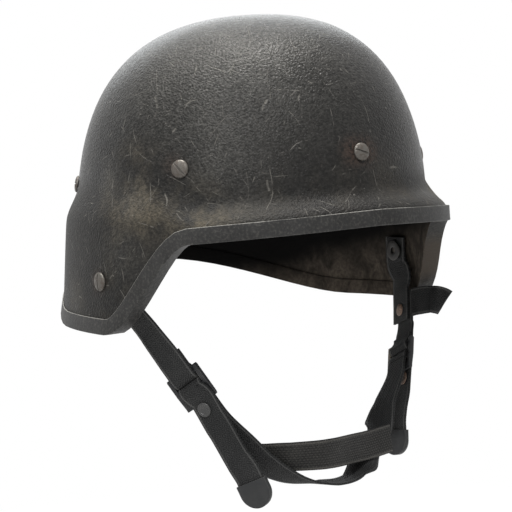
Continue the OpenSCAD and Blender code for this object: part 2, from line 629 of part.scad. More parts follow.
// Pressed cap of a snap fastener: a shallow dish with a raised rim, facing local +Y from off
module snap_cap() {
    rotate([-90, 0, 0]) rotate_extrude($fn = round_fn)
        polygon([[0, 0], [snap_r, 0], [snap_r, 0.5], [snap_r - 0.6, 0.9], [snap_r - 1.5, 0.9],
                 [snap_r - 1.9, 0.5], [0, 0.5]]);
}
module right_tail() {
    color("#2e302f") ribbon(tail_frames(right_tail_route, right_place), web_w, web_t);
}
module left_tail() {
    color("#2e302f") ribbon(tail_frames(left_tail_route, left_place), web_w, web_t);
}
module right_tail_tip() {
    color("#2a2b2b") in_place(right_tip) tail_tip();
}
module left_tail_tip() {
    color("#2a2b2b") in_place(left_tip) tail_tip();
}
module right_snap_cap() {
    color("#26282a") in_place(right_snap) translate([-snap_shift, web_t / 2 + soft_gap, 0]) snap_cap();
}
// The left cap sits on the inner face of its tail, just below the buckle
module left_snap_cap() {
    color("#6b4a3a") in_place(left_snap)
        translate([snap_shift, -web_t / 2 - soft_gap, 0]) mirror([0, 1, 0]) snap_cap();
}

// Left side: a tab hangs from the post, and the strap from the buckle snaps to it.
// Above the snap the strap's end is folded forwards and stands out as a pull.
snap_place = mirror_out(place(hang(0.945, 11, 40.5), [-0.25, -0.26, -0.93], [-0.12, -0.93, 0.33]));
strap_shift = 3;
fold_up = 2.8;
tab_route = [[hang(1, 0, -9), [0, -1, 0]], [hang(1, 0, 8), [0, -1, 0], [0, 0, -1]],
    [hang(0.992, 6.5, 17), [0, -0.97, 0.2]],
    [spot(snap_place, -15, 0), snap_place[3], snap_place[1]],
    [spot(snap_place, 8.5, 0), snap_place[3], snap_place[1]]];
left_ear_route = [[spot(left_place, top_bar, bar_wrap), left_place[3], -left_place[1]],
    [spot(left_place, top_bar - 9, bar_wrap), left_place[3], -left_place[1]],
    [spot(snap_place, 10, web_step, strap_shift), snap_place[3], -snap_place[1]],
    [spot(snap_place, -fold_up - web_w / 2 + 0.3, web_step, strap_shift), snap_place[3], -snap_place[1]]];
pull_step = web_step + 0.15;
pull_route = [
    [spot(snap_place, -fold_up, pull_step, strap_shift - web_w / 2 + 0.4), -snap_place[1], snap_place[3]],
    [spot(snap_place, -fold_up, pull_step, strap_shift + web_w / 2), -snap_place[1], snap_place[3]],
    [hang(1.05, 28.5, 33), [0.35, 0.25, 0.9], [0.6, -0.7, 0]],
    [hang(1.11, 35.5, 35.5), [0.35, -0.5, 0.76], [0.75, -0.4, -0.55]]];
snap_hole_r = 2.1;
module snap_hole() {
    in_place(snap_place) rotate([90, 0, 0])
        cylinder(h = 12, r = snap_hole_r, center = true, $fn = round_fn);
}
module left_ear_tab() {
    color("#2c2d2c") difference() {
        ribbon(route(tab_route, 4), web_w, web_t);
        post_hole(1);
        snap_hole();
    }
}
module left_ear_strap() {
    f = route(left_ear_route, 4);
    color("#2c2d2c") difference() {
        ribbon(concat(reversed(sewn_leg(left_place, 9)),
            reversed(wrap(left_place, top_bar, bar_wrap, 90, -90)),
            [for (i = [1:len(f) - 1]) f[i]]), web_w, web_t);
        snap_hole();
    }
    color("#2c2d2c") difference() {
        ribbon(route(pull_route, 4), web_w, web_t);
        snap_hole();
    }
}
// The stud's copper cap faces inwards, and the socket closes on its neck outside the strap
snap_neck_r = 1.8;
stud_cap_r = 4.1;
module left_snap_stud() {
    inner = -web_t / 2 - soft_gap;
    outer = web_step + web_t / 2 + soft_gap + 1.5;
    color("#8a5a3c") in_place(snap_place) translate([0, inner, 0]) rotate([-90, 0, 0]) {
        cylinder(h = outer - inner, r = snap_neck_r, $fn = round_fn);
        rotate([180, 0, 0]) rotate_extrude($fn = round_fn)
            polygon([[0, 0], [stud_cap_r, 0], [stud_cap_r, 0.4], [stud_cap_r * 0.7, 1.1], [0, 1.3]]);
    }
}
module left_snap_socket() {
    color("#3a3a3a") in_place(snap_place) translate([0, web_step + web_t / 2 + soft_gap, 0])
        rotate([-90, 0, 0]) rotate_extrude($fn = round_fn)
            polygon([[snap_neck_r + run_gap, 0], [snap_r, 0], [snap_r, 0.8], [snap_r * 0.8, 1.9],
                     [snap_neck_r + run_gap, 1.9]]);
}

// Chin bands: the lower one runs from buckle to buckle under the chin, and the upper one
// leaves it on the right and is sewn across it on the left
left_join = hang(0.415, 49.9, 118.9);
join_n = unit([0.2, -0.97, 0.08]);
join_across = unit(cross([0, 0, 1], join_n) + [0, 0, 0.04]);
join_up = cross(join_n, join_across);
join_step = web_step + 1.2;
// The lower band crosses the upper band's end aslant, and lies flat under it over this stretch
join_skew = 1.15;
join_below = 4;
join_above = 9;
// Reach of the upper band's flat end to both sides of the join
join_lead = 5;
join_end = 14;
join_lean = unit(join_up + join_skew * join_across);
join_width = unit(join_across - join_skew * join_up);
lower_route = [[spot(right_place, leg_end + 0.3, -bar_wrap), right_place[3], right_place[1]],
    [hang(-0.634, 44.8, 90.3), [0.33, -0.76, 0.56]], [hang(-0.56, 55.8, 103.3), [0.36, -0.76, 0.54]],
    [hang(-0.446, 62.9, 117.9), [0.4, -0.82, 0.4]], [hang(-0.265, 66.4, 129.9), [0.28, -0.94, 0.2]],
    [hang(-0.04, 66, 135.5), [0, -1, 0]], [hang(0.187, 60, 135.3), [0, -0.99, 0.1]],
    [left_join - join_below * join_lean, join_width, join_lean],
    [left_join + join_above * join_lean, join_width, join_lean],
    [hang(0.555, 40, 104.2), [0.2, -0.92, -0.25]],
    [hang(0.605, 37.3, 96.5), [-0.15, -0.97, 0.15]],
    [spot(left_place, leg_end + 5, -bar_wrap - 0.5), left_place[3], -left_place[1]],
    [spot(left_place, leg_end + 0.3, -bar_wrap), left_place[3], -left_place[1]]];
lower_frames = route(lower_route, 4);
upper_route = [[hang(-0.494, 53.1, 113.9), [0.05, -0.2, 0.98]],
    [hang(-0.418, 59.2, 114.4), [0.05, -0.25, 0.97]],
    [hang(-0.324, 69, 113.9), [0.05, -0.25, 0.97]], [hang(-0.121, 75.2, 114.8), [0, -0.05, 1]],
    [hang(0.171, 62, 117.7), [0, 0.05, 1]],
    [left_join + join_n * join_step - join_lead * join_across, join_up, join_across],
    [left_join + join_n * join_step + join_end * join_across, join_up, join_across]];
module chin_band_lower() {
    color("#2b2c2c") ribbon(lower_frames, web_w, web_t);
}
module chin_band_upper() {
    start = lower_frames[11];
    color("#33322f") difference() {
        ribbon(route(upper_route, 4), web_w, web_t);
        in_place(place(start[0], start[1], start[2])) translate([-100, -50, -50]) cube(100);
    }
}

shell();
edging();
cradle_screws();
cradle_nuts();
cradle_washers();
cradle_ring();
crown_straps();
crown_lace();
sweatband();
sweatband_studs();
ear_screws();
ear_posts();
ear_washers();
right_ear_strap();
left_ear_tab();
strap_grommets();
right_buckle();
right_tail();
right_tail_tip();
right_snap_cap();
left_ear_strap();
left_snap_stud();
left_snap_socket();
left_buckle();
left_tail();
left_tail_tip();
left_snap_cap();
chin_band_lower();
chin_band_upper();
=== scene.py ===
"""Looks of a worn ballistic helmet: painted shell, rubber edging, cradle and buckled chin strap.

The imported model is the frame. The chin strap's webbing is woven anew along the same routes, and
every other piece is a merged copy of a CAD node, with its faces and edges rounded.
"""

from __future__ import annotations

import logging
import math
from dataclasses import dataclass
from enum import Enum
from typing import Callable, Iterable, Sequence

import bpy  # noqa: E402
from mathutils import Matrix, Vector, noise  # noqa: E402
from mathutils.bvhtree import BVHTree  # noqa: E402


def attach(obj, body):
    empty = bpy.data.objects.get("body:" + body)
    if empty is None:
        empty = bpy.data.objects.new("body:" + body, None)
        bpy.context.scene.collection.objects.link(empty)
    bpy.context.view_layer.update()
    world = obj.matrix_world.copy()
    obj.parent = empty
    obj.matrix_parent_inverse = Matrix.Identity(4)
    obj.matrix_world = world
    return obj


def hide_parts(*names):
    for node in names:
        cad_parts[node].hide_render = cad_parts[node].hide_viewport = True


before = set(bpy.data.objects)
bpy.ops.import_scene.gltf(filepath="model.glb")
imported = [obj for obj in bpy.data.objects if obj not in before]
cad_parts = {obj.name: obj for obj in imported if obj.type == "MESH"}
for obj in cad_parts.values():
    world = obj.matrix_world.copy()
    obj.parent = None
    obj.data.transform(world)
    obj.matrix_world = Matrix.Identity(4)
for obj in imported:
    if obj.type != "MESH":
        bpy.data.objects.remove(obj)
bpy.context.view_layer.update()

LOG = logging.getLogger("ballistic_helmet")
MM = 0.001
FULL_TURN = 2 * math.pi
MERGE_GAP = 0.002 * MM
SMOOTH_ANGLE = 48.0
QUAD_SHAPE = 60.0
WEAVE_MAP = "weave"
# the strip's outer lip, painted pale as wear and as a highlight
RUB_AND_HIGHLIGHT_MARK = "rub"
SEEN_RAYS = ("Is Camera Ray", "Is Glossy Ray", "Is Transmission Ray")
Triple = tuple[float, float, float]
Piece = bpy.types.Object
Finish = bpy.types.Material


# Shader maths


class Sock:
    """A shader socket that takes part in Python arithmetic."""

    def __init__(self, graph: Graph, socket: bpy.types.NodeSocket) -> None:
        """Wraps one output socket of a graph."""
        self.graph = graph
        self.socket = socket

    def _with(self, operation: str, *values: object) -> Sock:
        """Adds a Math node on the values."""
        return self.graph.node("ShaderNodeMath", {"operation": operation}, dict(enumerate(values)))

    def __add__(self, other: object) -> Sock:
        """Sum."""
        return self._with("ADD", self, other)

    def __sub__(self, other: object) -> Sock:
        """Difference."""
        return self._with("SUBTRACT", self, other)

    def __rsub__(self, other: object) -> Sock:
        """Difference from a number."""
        return self._with("SUBTRACT", other, self)

    def __mul__(self, other: object) -> Sock:
        """Product."""
        return self._with("MULTIPLY", self, other)

    __radd__ = __add__
    __rmul__ = __mul__

    def top(self, other: object) -> Sock:
        """The larger of two values."""
        return self._with("MAXIMUM", self, other)

    def sine(self) -> Sock:
        """Sine of the value."""
        return self._with("SINE", self)

    def size(self) -> Sock:
        """Value without its sign."""
        return self._with("ABSOLUTE", self)

    def repeat(self, period: float) -> Sock:
        """Runs up and down between 0 and the period."""
        return self._with("PINGPONG", self, period)

    def step(self, start: float, end: float, low: float = 0.0, high: float = 1.0) -> Sock:
        """Eases from low at start to high at end.

        Args:
            start: value at which the step begins, which may be the larger.
            end: value at which it ends.
            low: result before start.
            high: result after end.

        Returns:
            The eased value.
        """
        if start > end:
            start, end, low, high = end, start, high, low
        return self.graph.node("ShaderNodeMapRange", {"interpolation_type": "SMOOTHSTEP"},
                               {0: self, 1: start, 2: end, 3: low, 4: high})


class Graph:
    """A material's node tree, built by calls instead of by hand."""

    def __init__(self, name: str) -> None:
        """Makes an empty material.

        Args:
            name: the material's name.
        """
        self.material = bpy.data.materials.new(name)
        self.material.use_nodes = True
        self.tree = self.material.node_tree
        self.tree.nodes.clear()
        self.point = self.node("ShaderNodeTexCoord", {}, {}, "Object")

    def node(self, kind: str, settings: dict, values: dict, out: int | str = 0) -> Sock:
        """Adds a node.

        Args:
            kind: the node's type.
            settings: its own settings, such as an operation.
            values: constants or sockets for its inputs, by name or place.
            out: the output that is used on.

        Returns:
            That output.
        """
        made = self.tree.nodes.new(kind)
        for key, value in settings.items():
            setattr(made, key, value)
        for key, value in values.items():
            socket = made.inputs[key]
            if isinstance(value, Sock):
                self.tree.links.new(value.socket, socket)
            elif isinstance(value, tuple) and socket.type == "RGBA":
                socket.default_value = (*value, 1.0)
            else:
                socket.default_value = value
        return Sock(self, made.outputs[out])

    def vector(self, operation: str, first: object, second: object = (0.0, 0.0, 0.0),
               out: str = "Vector") -> Sock:
        """Vector Math on one or two vectors."""
        return self.node("ShaderNodeVectorMath", {"operation": operation}, {0: first, 1: second}, out)

    def turned(self, point: Sock, turn: Triple, factors: Triple) -> Sock:
        """A point turned and then stretched, for a noise that runs in one direction.

        Args:
            point: the point.
            turn: angles about the axes in radians.
            factors: factors along the axes.

        Returns:
            The new point.
        """
        seen = self.node("ShaderNodeVectorRotate", {"rotation_type": "EULER_XYZ"},
                         {"Vector": point, "Rotation": turn})
        return self.vector("MULTIPLY", seen, factors)

    def noise(self, point: Sock, scale: float, detail: float = 3.0, rough: float = 0.55,
              warp: float = 0.0) -> Sock:
        """Fractal noise.

        Args:
            point: the place that is looked at.
            scale: grains per metre.
            detail: octaves.
            rough: how much the finer octaves count.
            warp: how far the noise bends itself.

        Returns:
            The noise from 0 to 1.
        """
        return self.node("ShaderNodeTexNoise", {}, {
            "Vector": point, "Scale": scale, "Detail": detail, "Roughness": rough,
            "Distortion": warp})

    def cells(self, point: Sock, scale: float, out: str = "Distance", smooth: bool = False) -> Sock:
        """Scattered cells.

        Args:
            point: the place that is looked at.
            scale: cells per metre.
            out: Distance, Color or Position of the nearest cell.
            smooth: whether cells run into one another.

        Returns:
            That output.
        """
        feature = "SMOOTH_F1" if smooth else "F1"
        return self.node("ShaderNodeTexVoronoi", {"feature": feature},
                         {"Vector": point, "Scale": scale}, out)

    def mix(self, factor: object, first: object, second: object) -> Sock:
        """Mixes two colours."""
        return self.node("ShaderNodeMix", {"data_type": "RGBA"}, {0: factor, 6: first, 7: second}, 2)

    def parts(self, vector: Sock) -> list[Sock]:
        """A vector's three numbers."""
        split = self.node("ShaderNodeSeparateXYZ", {}, {0: vector})
        return [Sock(self, output) for output in split.socket.node.outputs]

    def joined(self, x: object, y: object, z: object) -> Sock:
        """A vector of three numbers."""
        return self.node("ShaderNodeCombineXYZ", {}, {0: x, 1: y, 2: z})

    def weave(self) -> list[Sock]:
        """The webbing's own coordinates: metres along it and across it."""
        return self.parts(self.node("ShaderNodeUVMap", {"uv_map": WEAVE_MAP}, {}))

    def edge(self, radius: float) -> Sock:
        """Finds the piece's sharp edges.

        Args:
            radius: how far the mask reaches from an edge, in metres.

        Returns:
            1 at the edges, fading to 0 within the radius.
        """
        soft = self.node("ShaderNodeBevel", {"samples": 6}, {"Radius": radius})
        plain = self.node("ShaderNodeNewGeometry", {}, {}, "Normal")
        return (1.0 - self.vector("DOT_PRODUCT", soft, plain, "Value")).step(0.0, 0.12)

    def scratches(self, spacing: float, length: float, width: float, share: float) -> Sock:
        """Thin straight scratches, at most one in each scattered cell and turned at random.

        Args:
            spacing: distance from cell to cell in metres.
            length: length of a scratch in metres.
            width: its width in metres.
            share: share of the cells that have one.

        Returns:
            1 on a scratch and 0 elsewhere.
        """
        wave = self.node("ShaderNodeTexNoise", {}, {
            "Vector": self.point, "Scale": 0.4 / spacing, "Detail": 1.0}, "Color")
        bent = self.vector("ADD", self.point,
                           self.vector("MULTIPLY", wave, (length, length, length)))
        chance = self.cells(bent, 1 / spacing, "Color")
        away = self.vector("SUBTRACT", bent, self.cells(bent, 1 / spacing, "Position"))
        across = self.vector("NORMALIZE", self.vector("SUBTRACT", chance, (0.5, 0.5, 0.5)))
        along = self.vector("NORMALIZE", self.vector("CROSS_PRODUCT", across, (0.3, 0.5, 0.8)))
        lit = (self.parts(chance)[0] * 7.0).repeat(1.0).step(1.0 - share, 1.0 - share + 0.05)
        for aim, reach in ((across, width), (along, length)):
            off = self.vector("DOT_PRODUCT", away, aim, "Value").size()
            lit = off.step(reach * 0.5, reach * 0.2) * lit
        return lit

    def bump(self, height: Sock, distance: float, strength: float = 1.0,
             onto: Sock | None = None) -> Sock:
        """Bumps the surface.

        Args:
            height: height from 0 to 1.
            distance: metres that a height of 1 stands for.
            strength: share of the bump that is kept.
            onto: a bumped normal that this one adds to.

        Returns:
            The bumped normal.
        """
        values: dict = {"Strength": strength, "Distance": distance, "Height": height}
        if onto is not None:
            values["Normal"] = onto
        return self.node("ShaderNodeBump", {}, values)

    def finish(self, colour: object, rough: object, normal: Sock | None = None, metal: object = 0.0,
               **constants: float) -> Finish:
        """Ends the tree in a Principled shader.

        Args:
            colour: base colour.
            rough: roughness.
            normal: bumped normal.
            metal: metallic share.
            constants: the shader's own fixed sockets, with underscores for spaces.

        Returns:
            The finished material.
        """
        values: dict = {"Base Color": colour, "Roughness": rough, "Metallic": metal}
        values.update({key.replace("_", " "): value for key, value in constants.items()})
        if normal is not None:
            values["Normal"] = normal
        return self.close(self.node("ShaderNodeBsdfPrincipled", {}, values))

    def close(self, shader: Sock) -> Finish:
        """Ends the tree in a shader.

        Args:
            shader: the shader that the surface shows.

        Returns:
            The finished material.
        """
        output = self.tree.nodes.new("ShaderNodeOutputMaterial")
        self.tree.links.new(shader.socket, output.inputs["Surface"])
        return self.material


# Finishes, in which a noise's scale counts its grains per metre


@dataclass(frozen=True)
class Patch:
    """A rubbed, dusty or dark place: its centre and radius in metres, and its strength."""

    centre: Triple
    radius: float
    strength: float


@dataclass(frozen=True)
class Scratch:
    """One kind of scratch: cell spacing and length in metres, and the share of cells that have one."""

    spacing: float
    length: float
    share: float


def covered(g: Graph, point: Sock, patches: Iterable[Patch]) -> Sock:
    """Adds patches up.

    Args:
        g: the material's graph.
        point: the place that is looked at.
        patches: one patch or more.

    Returns:
        How much they cover the place.
    """
    total: Sock | float = 0.0
    for patch in patches:
        away = g.vector("DISTANCE", point, patch.centre, "Value")
        total = away.step(patch.radius, 0.0) * patch.strength + total
    return total


@dataclass(frozen=True)
class PebbledPaint:
    """Charcoal paint with a pebbled grain, dusty on the flares, scratched and chipped.

    Dust and rust lie on both sides alike. The crown and some given patches are painted paler as a
    highlight, and other given patches darker as painted shade.

    Attributes:
        colour, deep: the paint where it is lighter and where it is darker.
        hazy, painted_highlight, dust, rust: colours of the grain, of the painted highlight, and of the
            dust and rust that lie over it.
        worn, pitted: colours of scratches and of pits.
        grain: size of a pebble.
        relief, swell: height of the pebbles and of the slow waves under them.
        gloss: specular level.
        scratch_width: width of every scratch.
        scratched: the kinds of scratches.
        crown: middle of the top that is painted paler as a highlight.
        crown_reach: distances from it at which the painted highlight begins and is full.
        flecks, pits: cells per metre, of which a few have a fleck or a pit.
        matt, matt_z: roughness above and low down, and the heights between which it changes.
        rusty, dusty: patches of rust and of dust; highlight_patches, painted_shade: patches of painted
            highlight and of painted shade.
    """

    colour: Triple = (0.024, 0.0232, 0.0222)
    deep: Triple = (0.013, 0.0128, 0.0125)
    hazy: Triple = (0.06, 0.058, 0.055)
    painted_highlight: Triple = (0.105, 0.103, 0.096)
    dust: Triple = (0.120, 0.103, 0.075)
    rust: Triple = (0.070, 0.046, 0.036)
    worn: Triple = (0.21, 0.20, 0.18)
    pitted: Triple = (0.008, 0.008, 0.008)
    grain: float = 1.25 * MM
    relief: float = 0.58 * MM
    swell: float = 1.2 * MM
    gloss: float = 0.08
    scratch_width: float = 0.6 * MM
    scratched: tuple[Scratch, ...] = (
        Scratch(0.013, 0.011, 0.45),
        Scratch(0.024, 0.024, 0.6),
        Scratch(0.007, 0.005, 0.45),
    )
    crown: Triple = (-0.045, -0.035, 0.115)
    crown_reach: tuple[float, float] = (0.115, 0.02)
    flecks: float = 210.0
    pits: float = 24.0
    matt: tuple[float, float] = (0.19, 0.38)
    matt_z: tuple[float, float] = (0.036, 0.018)
    rusty: tuple[Patch, ...] = (
        Patch((0.004, -0.1003, 0.0442), 0.015, 1.0),
        Patch((0.0905, -0.0419, 0.0394), 0.014, 0.8),
        Patch((0.1232, 0.0033, -0.0299), 0.012, 0.6),
    )
    dusty: tuple[Patch, ...] = (
        Patch((0.112, -0.022, 0.026), 0.042, 1.3),
        Patch((0.105, -0.060, 0.012), 0.040, 0.9),
        Patch((0.092, -0.074, 0.006), 0.034, 0.8),
        Patch((0.121, -0.020, -0.010), 0.040, 0.35),
        Patch((0.120, 0.042, -0.045), 0.030, 0.5),
        Patch((0.125, -0.012, -0.052), 0.034, 0.55),
        Patch((0.050, -0.104, 0.016), 0.042, 0.3),
        Patch((0.020, -0.107, 0.028), 0.030, 0.25),
        Patch((0.060, 0.110, 0.000), 0.050, 0.45),
    )
    # patches painted paler: painted highlights on the front and on the ear's crest, partly a worn grey
    # smear
    highlight_patches: tuple[Patch, ...] = (
        Patch((-0.080, -0.076, 0.038), 0.042, 0.9),
        Patch((-0.080, -0.058, 0.066), 0.032, 0.6),
        Patch((-0.112, -0.021, 0.021), 0.021, 1.3),
        Patch((-0.118, 0.006, 0.035), 0.022, 1.2),
        Patch((-0.121, -0.019, -0.008), 0.028, 0.8),
        Patch((-0.122, 0.040, -0.042), 0.020, 0.7),
    )
    # patches painted darker: painted shade on the sides and on the right of the brim
    painted_shade: tuple[Patch, ...] = (
        Patch((-0.105, -0.015, 0.062), 0.055, 0.9),
        Patch((0.018, -0.085, 0.072), 0.055, 0.7),
        Patch((0.035, -0.104, 0.018), 0.036, 0.8),
    )

    def pebbles(self, g: Graph, fine: Sock) -> Sock:
        """The pebbled grain, slightly broken up.

        Args:
            g: the material's graph.
            fine: the finer noise that breaks it up.

        Returns:
            Its height.
        """
        shift = 0.6 * MM
        spot = g.vector("ADD", g.point, g.joined(fine * shift, fine * -shift, 0.0))
        return g.cells(spot, 1 / self.grain, smooth=True)

    def bleach(self, g: Graph, cloud: Sock, fine: Sock, pebble: Sock) -> tuple[Sock, Sock]:
        """How far the crown and the highlight patches are painted paler as a highlight.

        Args:
            g: the material's graph.
            cloud: the coarse noise that breaks it up.
            fine: the fine one.
            pebble: the pebbled grain.

        Returns:
            The whole of it, and what the two noises leave of it.
        """
        near = g.vector("DISTANCE", g.point, self.crown, "Value").step(*self.crown_reach)
        whole = near + covered(g, g.point, self.highlight_patches) * 0.7
        # paler on the pebbles' peaks: painted glints
        whole = whole * pebble.step(0.2, 0.5, 0.35, 1.25)
        return whole, whole * cloud.step(0.3, 0.7, 0.5, 1.0) * fine.step(0.25, 0.8, 0.25, 1.0)

    def scratches(self, g: Graph) -> Sock:
        """All the scratches together.

        Args:
            g: the material's graph.

        Returns:
            1 on them, broken along their run, and 0 elsewhere.
        """
        first, *others = (g.scratches(kind.spacing, kind.length, self.scratch_width, kind.share)
                          for kind in self.scratched)
        for other in others:
            first = first.top(other)
        return first * g.noise(g.point, 160, 3).step(0.4, 0.62, 0.0, 1.0)

    def material(self, name: str) -> Finish:
        """Builds the paint.

        Args:
            name: the material's name.

        Returns:
            The finished material.
        """
        g = Graph(name)
        p = g.point
        x, y, z = g.parts(p)
        side = g.joined(x.size(), y, z)
        cloud = g.noise(p, 34, 5, 0.62)
        fine = g.noise(p, 480, 3, 0.6)
        blotch = g.noise(p, 13, 4, 0.6).step(0.3, 0.72)
        base = g.mix(blotch, self.deep, self.colour)
        # painted shade: the given patches mixed towards the darker paint
        base = g.mix(covered(g, p, self.painted_shade), base, self.deep)
        base = g.mix(fine.step(0.35, 0.8) * 0.35, base, self.hazy)
        pebble = self.pebbles(g, fine)
        crown, bleach = self.bleach(g, cloud, fine, pebble)
        # painted highlight: the crown and the given patches mixed paler
        base = g.mix(bleach * 0.65, base, self.painted_highlight)
        settled = covered(g, side, self.dusty) * cloud.step(0.34, 0.66)
        settled = settled * fine.step(0.3, 0.75, 0.35, 1.0)
        base = g.mix(settled * 0.62, base, self.dust)
        rusted = covered(g, side, self.rusty) * fine.step(0.3, 0.6)
        base = g.mix(rusted * 0.75, base, self.rust)
        marks = self.scratches(g)
        chance, _, _ = g.parts(g.cells(p, self.flecks, "Color"))
        fleck = g.cells(p, self.flecks).step(0.16, 0.08) * chance.step(0.86, 0.9)
        base = g.mix((marks * 0.45).top(fleck * 0.6 * cloud.step(0.4, 0.6)), base, self.worn)
        _, chance, _ = g.parts(g.cells(p, self.pits, "Color"))
        pit = g.cells(p, self.pits).step(0.06, 0.035) * chance.step(0.7, 0.75)
        base = g.mix(pit * 0.8, base, self.pitted)
        waves = g.noise(p, 0.9 / self.grain, 2, 0.5, 0.6)
        height = pebble * 0.8 + waves * 0.9 - marks * 0.3 - pit * 2.0
        normal = g.bump(height, self.relief, 0.95)
        normal = g.bump(g.noise(p, 22, 2, 0.4), self.swell, 0.5, normal)
        rough = blotch * 0.06 + fine * 0.12 + settled * 0.25 - crown * 0.05
        rough = rough + z.step(*self.matt_z, *self.matt)
        return g.finish(base, rough, normal, Specular_IOR_Level=self.gloss)


@dataclass(frozen=True)
class InnerFace:
    """The shell's bare inner face: dark resin, nearly black higher up and brown lower down.

    Attributes:
        colour: the resin.
        dust: the brown lower down.
        brown_top, brown_full: heights at which the brown begins and is full, above and below the origin.
        rise: how far these heights rise for each metre towards the front.
    """

    colour: Triple = (0.0035, 0.0034, 0.0033)
    dust: Triple = (0.075, 0.062, 0.050)
    brown_top: float = 4 * MM
    brown_full: float = -26 * MM
    rise: float = 0.24

    def material(self, name: str) -> Finish:
        """Builds the inner face's finish.

        Args:
            name: the material's name.

        Returns:
            The finished material.
        """
        g = Graph(name)
        p = g.point
        _, y, z = g.parts(p)
        cloud = g.noise(p, 26, 5, 0.6)
        # nearly black higher up, brown lower down
        low = (z + y * self.rise + cloud * 0.024).step(self.brown_top, self.brown_full)
        streak = g.noise(g.turned(p, (0.0, 0.3, 0.0), (75.0, 75.0, 48.0)), 1.0, 5, 0.65, 0.6)
        settled = low * streak.step(0.34, 0.66, 0.3, 1.05)
        settled = settled * g.noise(p, 420, 3, 0.6).step(0.25, 0.7, 0.55, 1.0)
        base = g.mix(settled, self.colour, self.dust)
        normal = g.bump(g.noise(p, 700, 2, 0.5) * 0.5 + cloud, 0.3 * MM, 0.5)
        return g.finish(base, cloud * 0.2 + 0.6, normal, Specular_IOR_Level=0.04)


@dataclass(frozen=True)
class EdgeRubber:
    """Matt charcoal edge strip, pale along its corners and outer lip: rubbed wear and a painted highlight
    together.

    Attributes:
        colour, deep: the rubber where it is lighter and where it is darker.
        hazy, worn, dust: colours of its grain, of the corners and lip painted pale as wear and highlight,
            and of dust.
        dusty: the dusty patches.
    """

    colour: Triple = (0.030, 0.0298, 0.0295)
    deep: Triple = (0.018, 0.0178, 0.0175)
    hazy: Triple = (0.085, 0.081, 0.075)
    worn: Triple = (0.23, 0.225, 0.21)
    dust: Triple = (0.042, 0.034, 0.027)
    dusty: tuple[Patch, ...] = (Patch((0.113, -0.038, -0.033), 0.030, 1.6),)

    def material(self, name: str) -> Finish:
        """Builds the edge strip's finish.

        Args:
            name: the material's name.

        Returns:
            The finished material.
        """
        g = Graph(name)
        p = g.point
        cloud = g.noise(p, 40, 4, 0.6)
        fine = g.noise(p, 620, 3, 0.65)
        base = g.mix(cloud.step(0.3, 0.7), self.deep, self.colour)
        base = g.mix(fine.step(0.45, 0.75) * 0.5, base, self.hazy)
        settled = covered(g, p, self.dusty) * (cloud * 0.6 + fine * 0.6).step(0.3, 0.7)
        base = g.mix(settled, base, self.dust)
        # corners and outer lip painted pale: rubbed wear and a painted highlight together
        lip = g.node("ShaderNodeAttribute", {"attribute_name": RUB_AND_HIGHLIGHT_MARK}, {}, "Fac")
        corner = g.edge(1.0 * MM) * (cloud * 0.5 + fine * 0.9).step(0.5, 0.9) * 0.8
        rubbed = corner.top(lip * (cloud * 0.4 + fine).step(0.45, 0.8, 0.25, 1.0))
        base = g.mix(rubbed, base, self.worn)
        normal = g.bump(fine, 0.35 * MM, 0.8)
        return g.finish(base, cloud * 0.15 + 0.42, normal, Specular_IOR_Level=0.15)


@dataclass(frozen=True)
class OldSteel:
    """Worn steel: bright where it is rubbed, dark and rusty where dirt stays.

    Attributes:
        bright, grime: colours of bare and of dirty metal.
        clean: level of the noise up to which the metal stays bare.
        metal: metallic share of bare metal.
        rubbed: colour of rubbed edges.
    """

    bright: Triple = (0.36, 0.35, 0.33)
    grime: Triple = (0.055, 0.043, 0.034)
    clean: float = 0.55
    metal: float = 0.85
    rubbed: Triple = (0.34, 0.33, 0.31)

    def material(self, name: str) -> Finish:
        """Builds the steel's finish.

        Args:
            name: the material's name.

        Returns:
            The finished material.
        """
        g = Graph(name)
        p = g.point
        cloud = g.noise(p, 380, 4, 0.65)
        fine = g.noise(p, 1500, 2, 0.6)
        rub = g.edge(0.7 * MM)
        mask = (cloud * 0.85 + fine * 0.35 - rub * 0.35).step(self.clean + 0.16, self.clean - 0.08)
        base = g.mix(mask, self.grime, self.bright)
        base = g.mix(rub * cloud.step(0.4, 0.65) * 0.6, base, self.rubbed)
        normal = g.bump(cloud + fine * 0.5, 0.25 * MM, 0.85)
        return g.finish(base, mask * -0.22 + 0.62, normal, mask * self.metal)


class Weave(Enum):
    """How a webbing is woven: slanted tape, or band of coarse warps."""

    TAPE = "tape"
    BAND = "band"


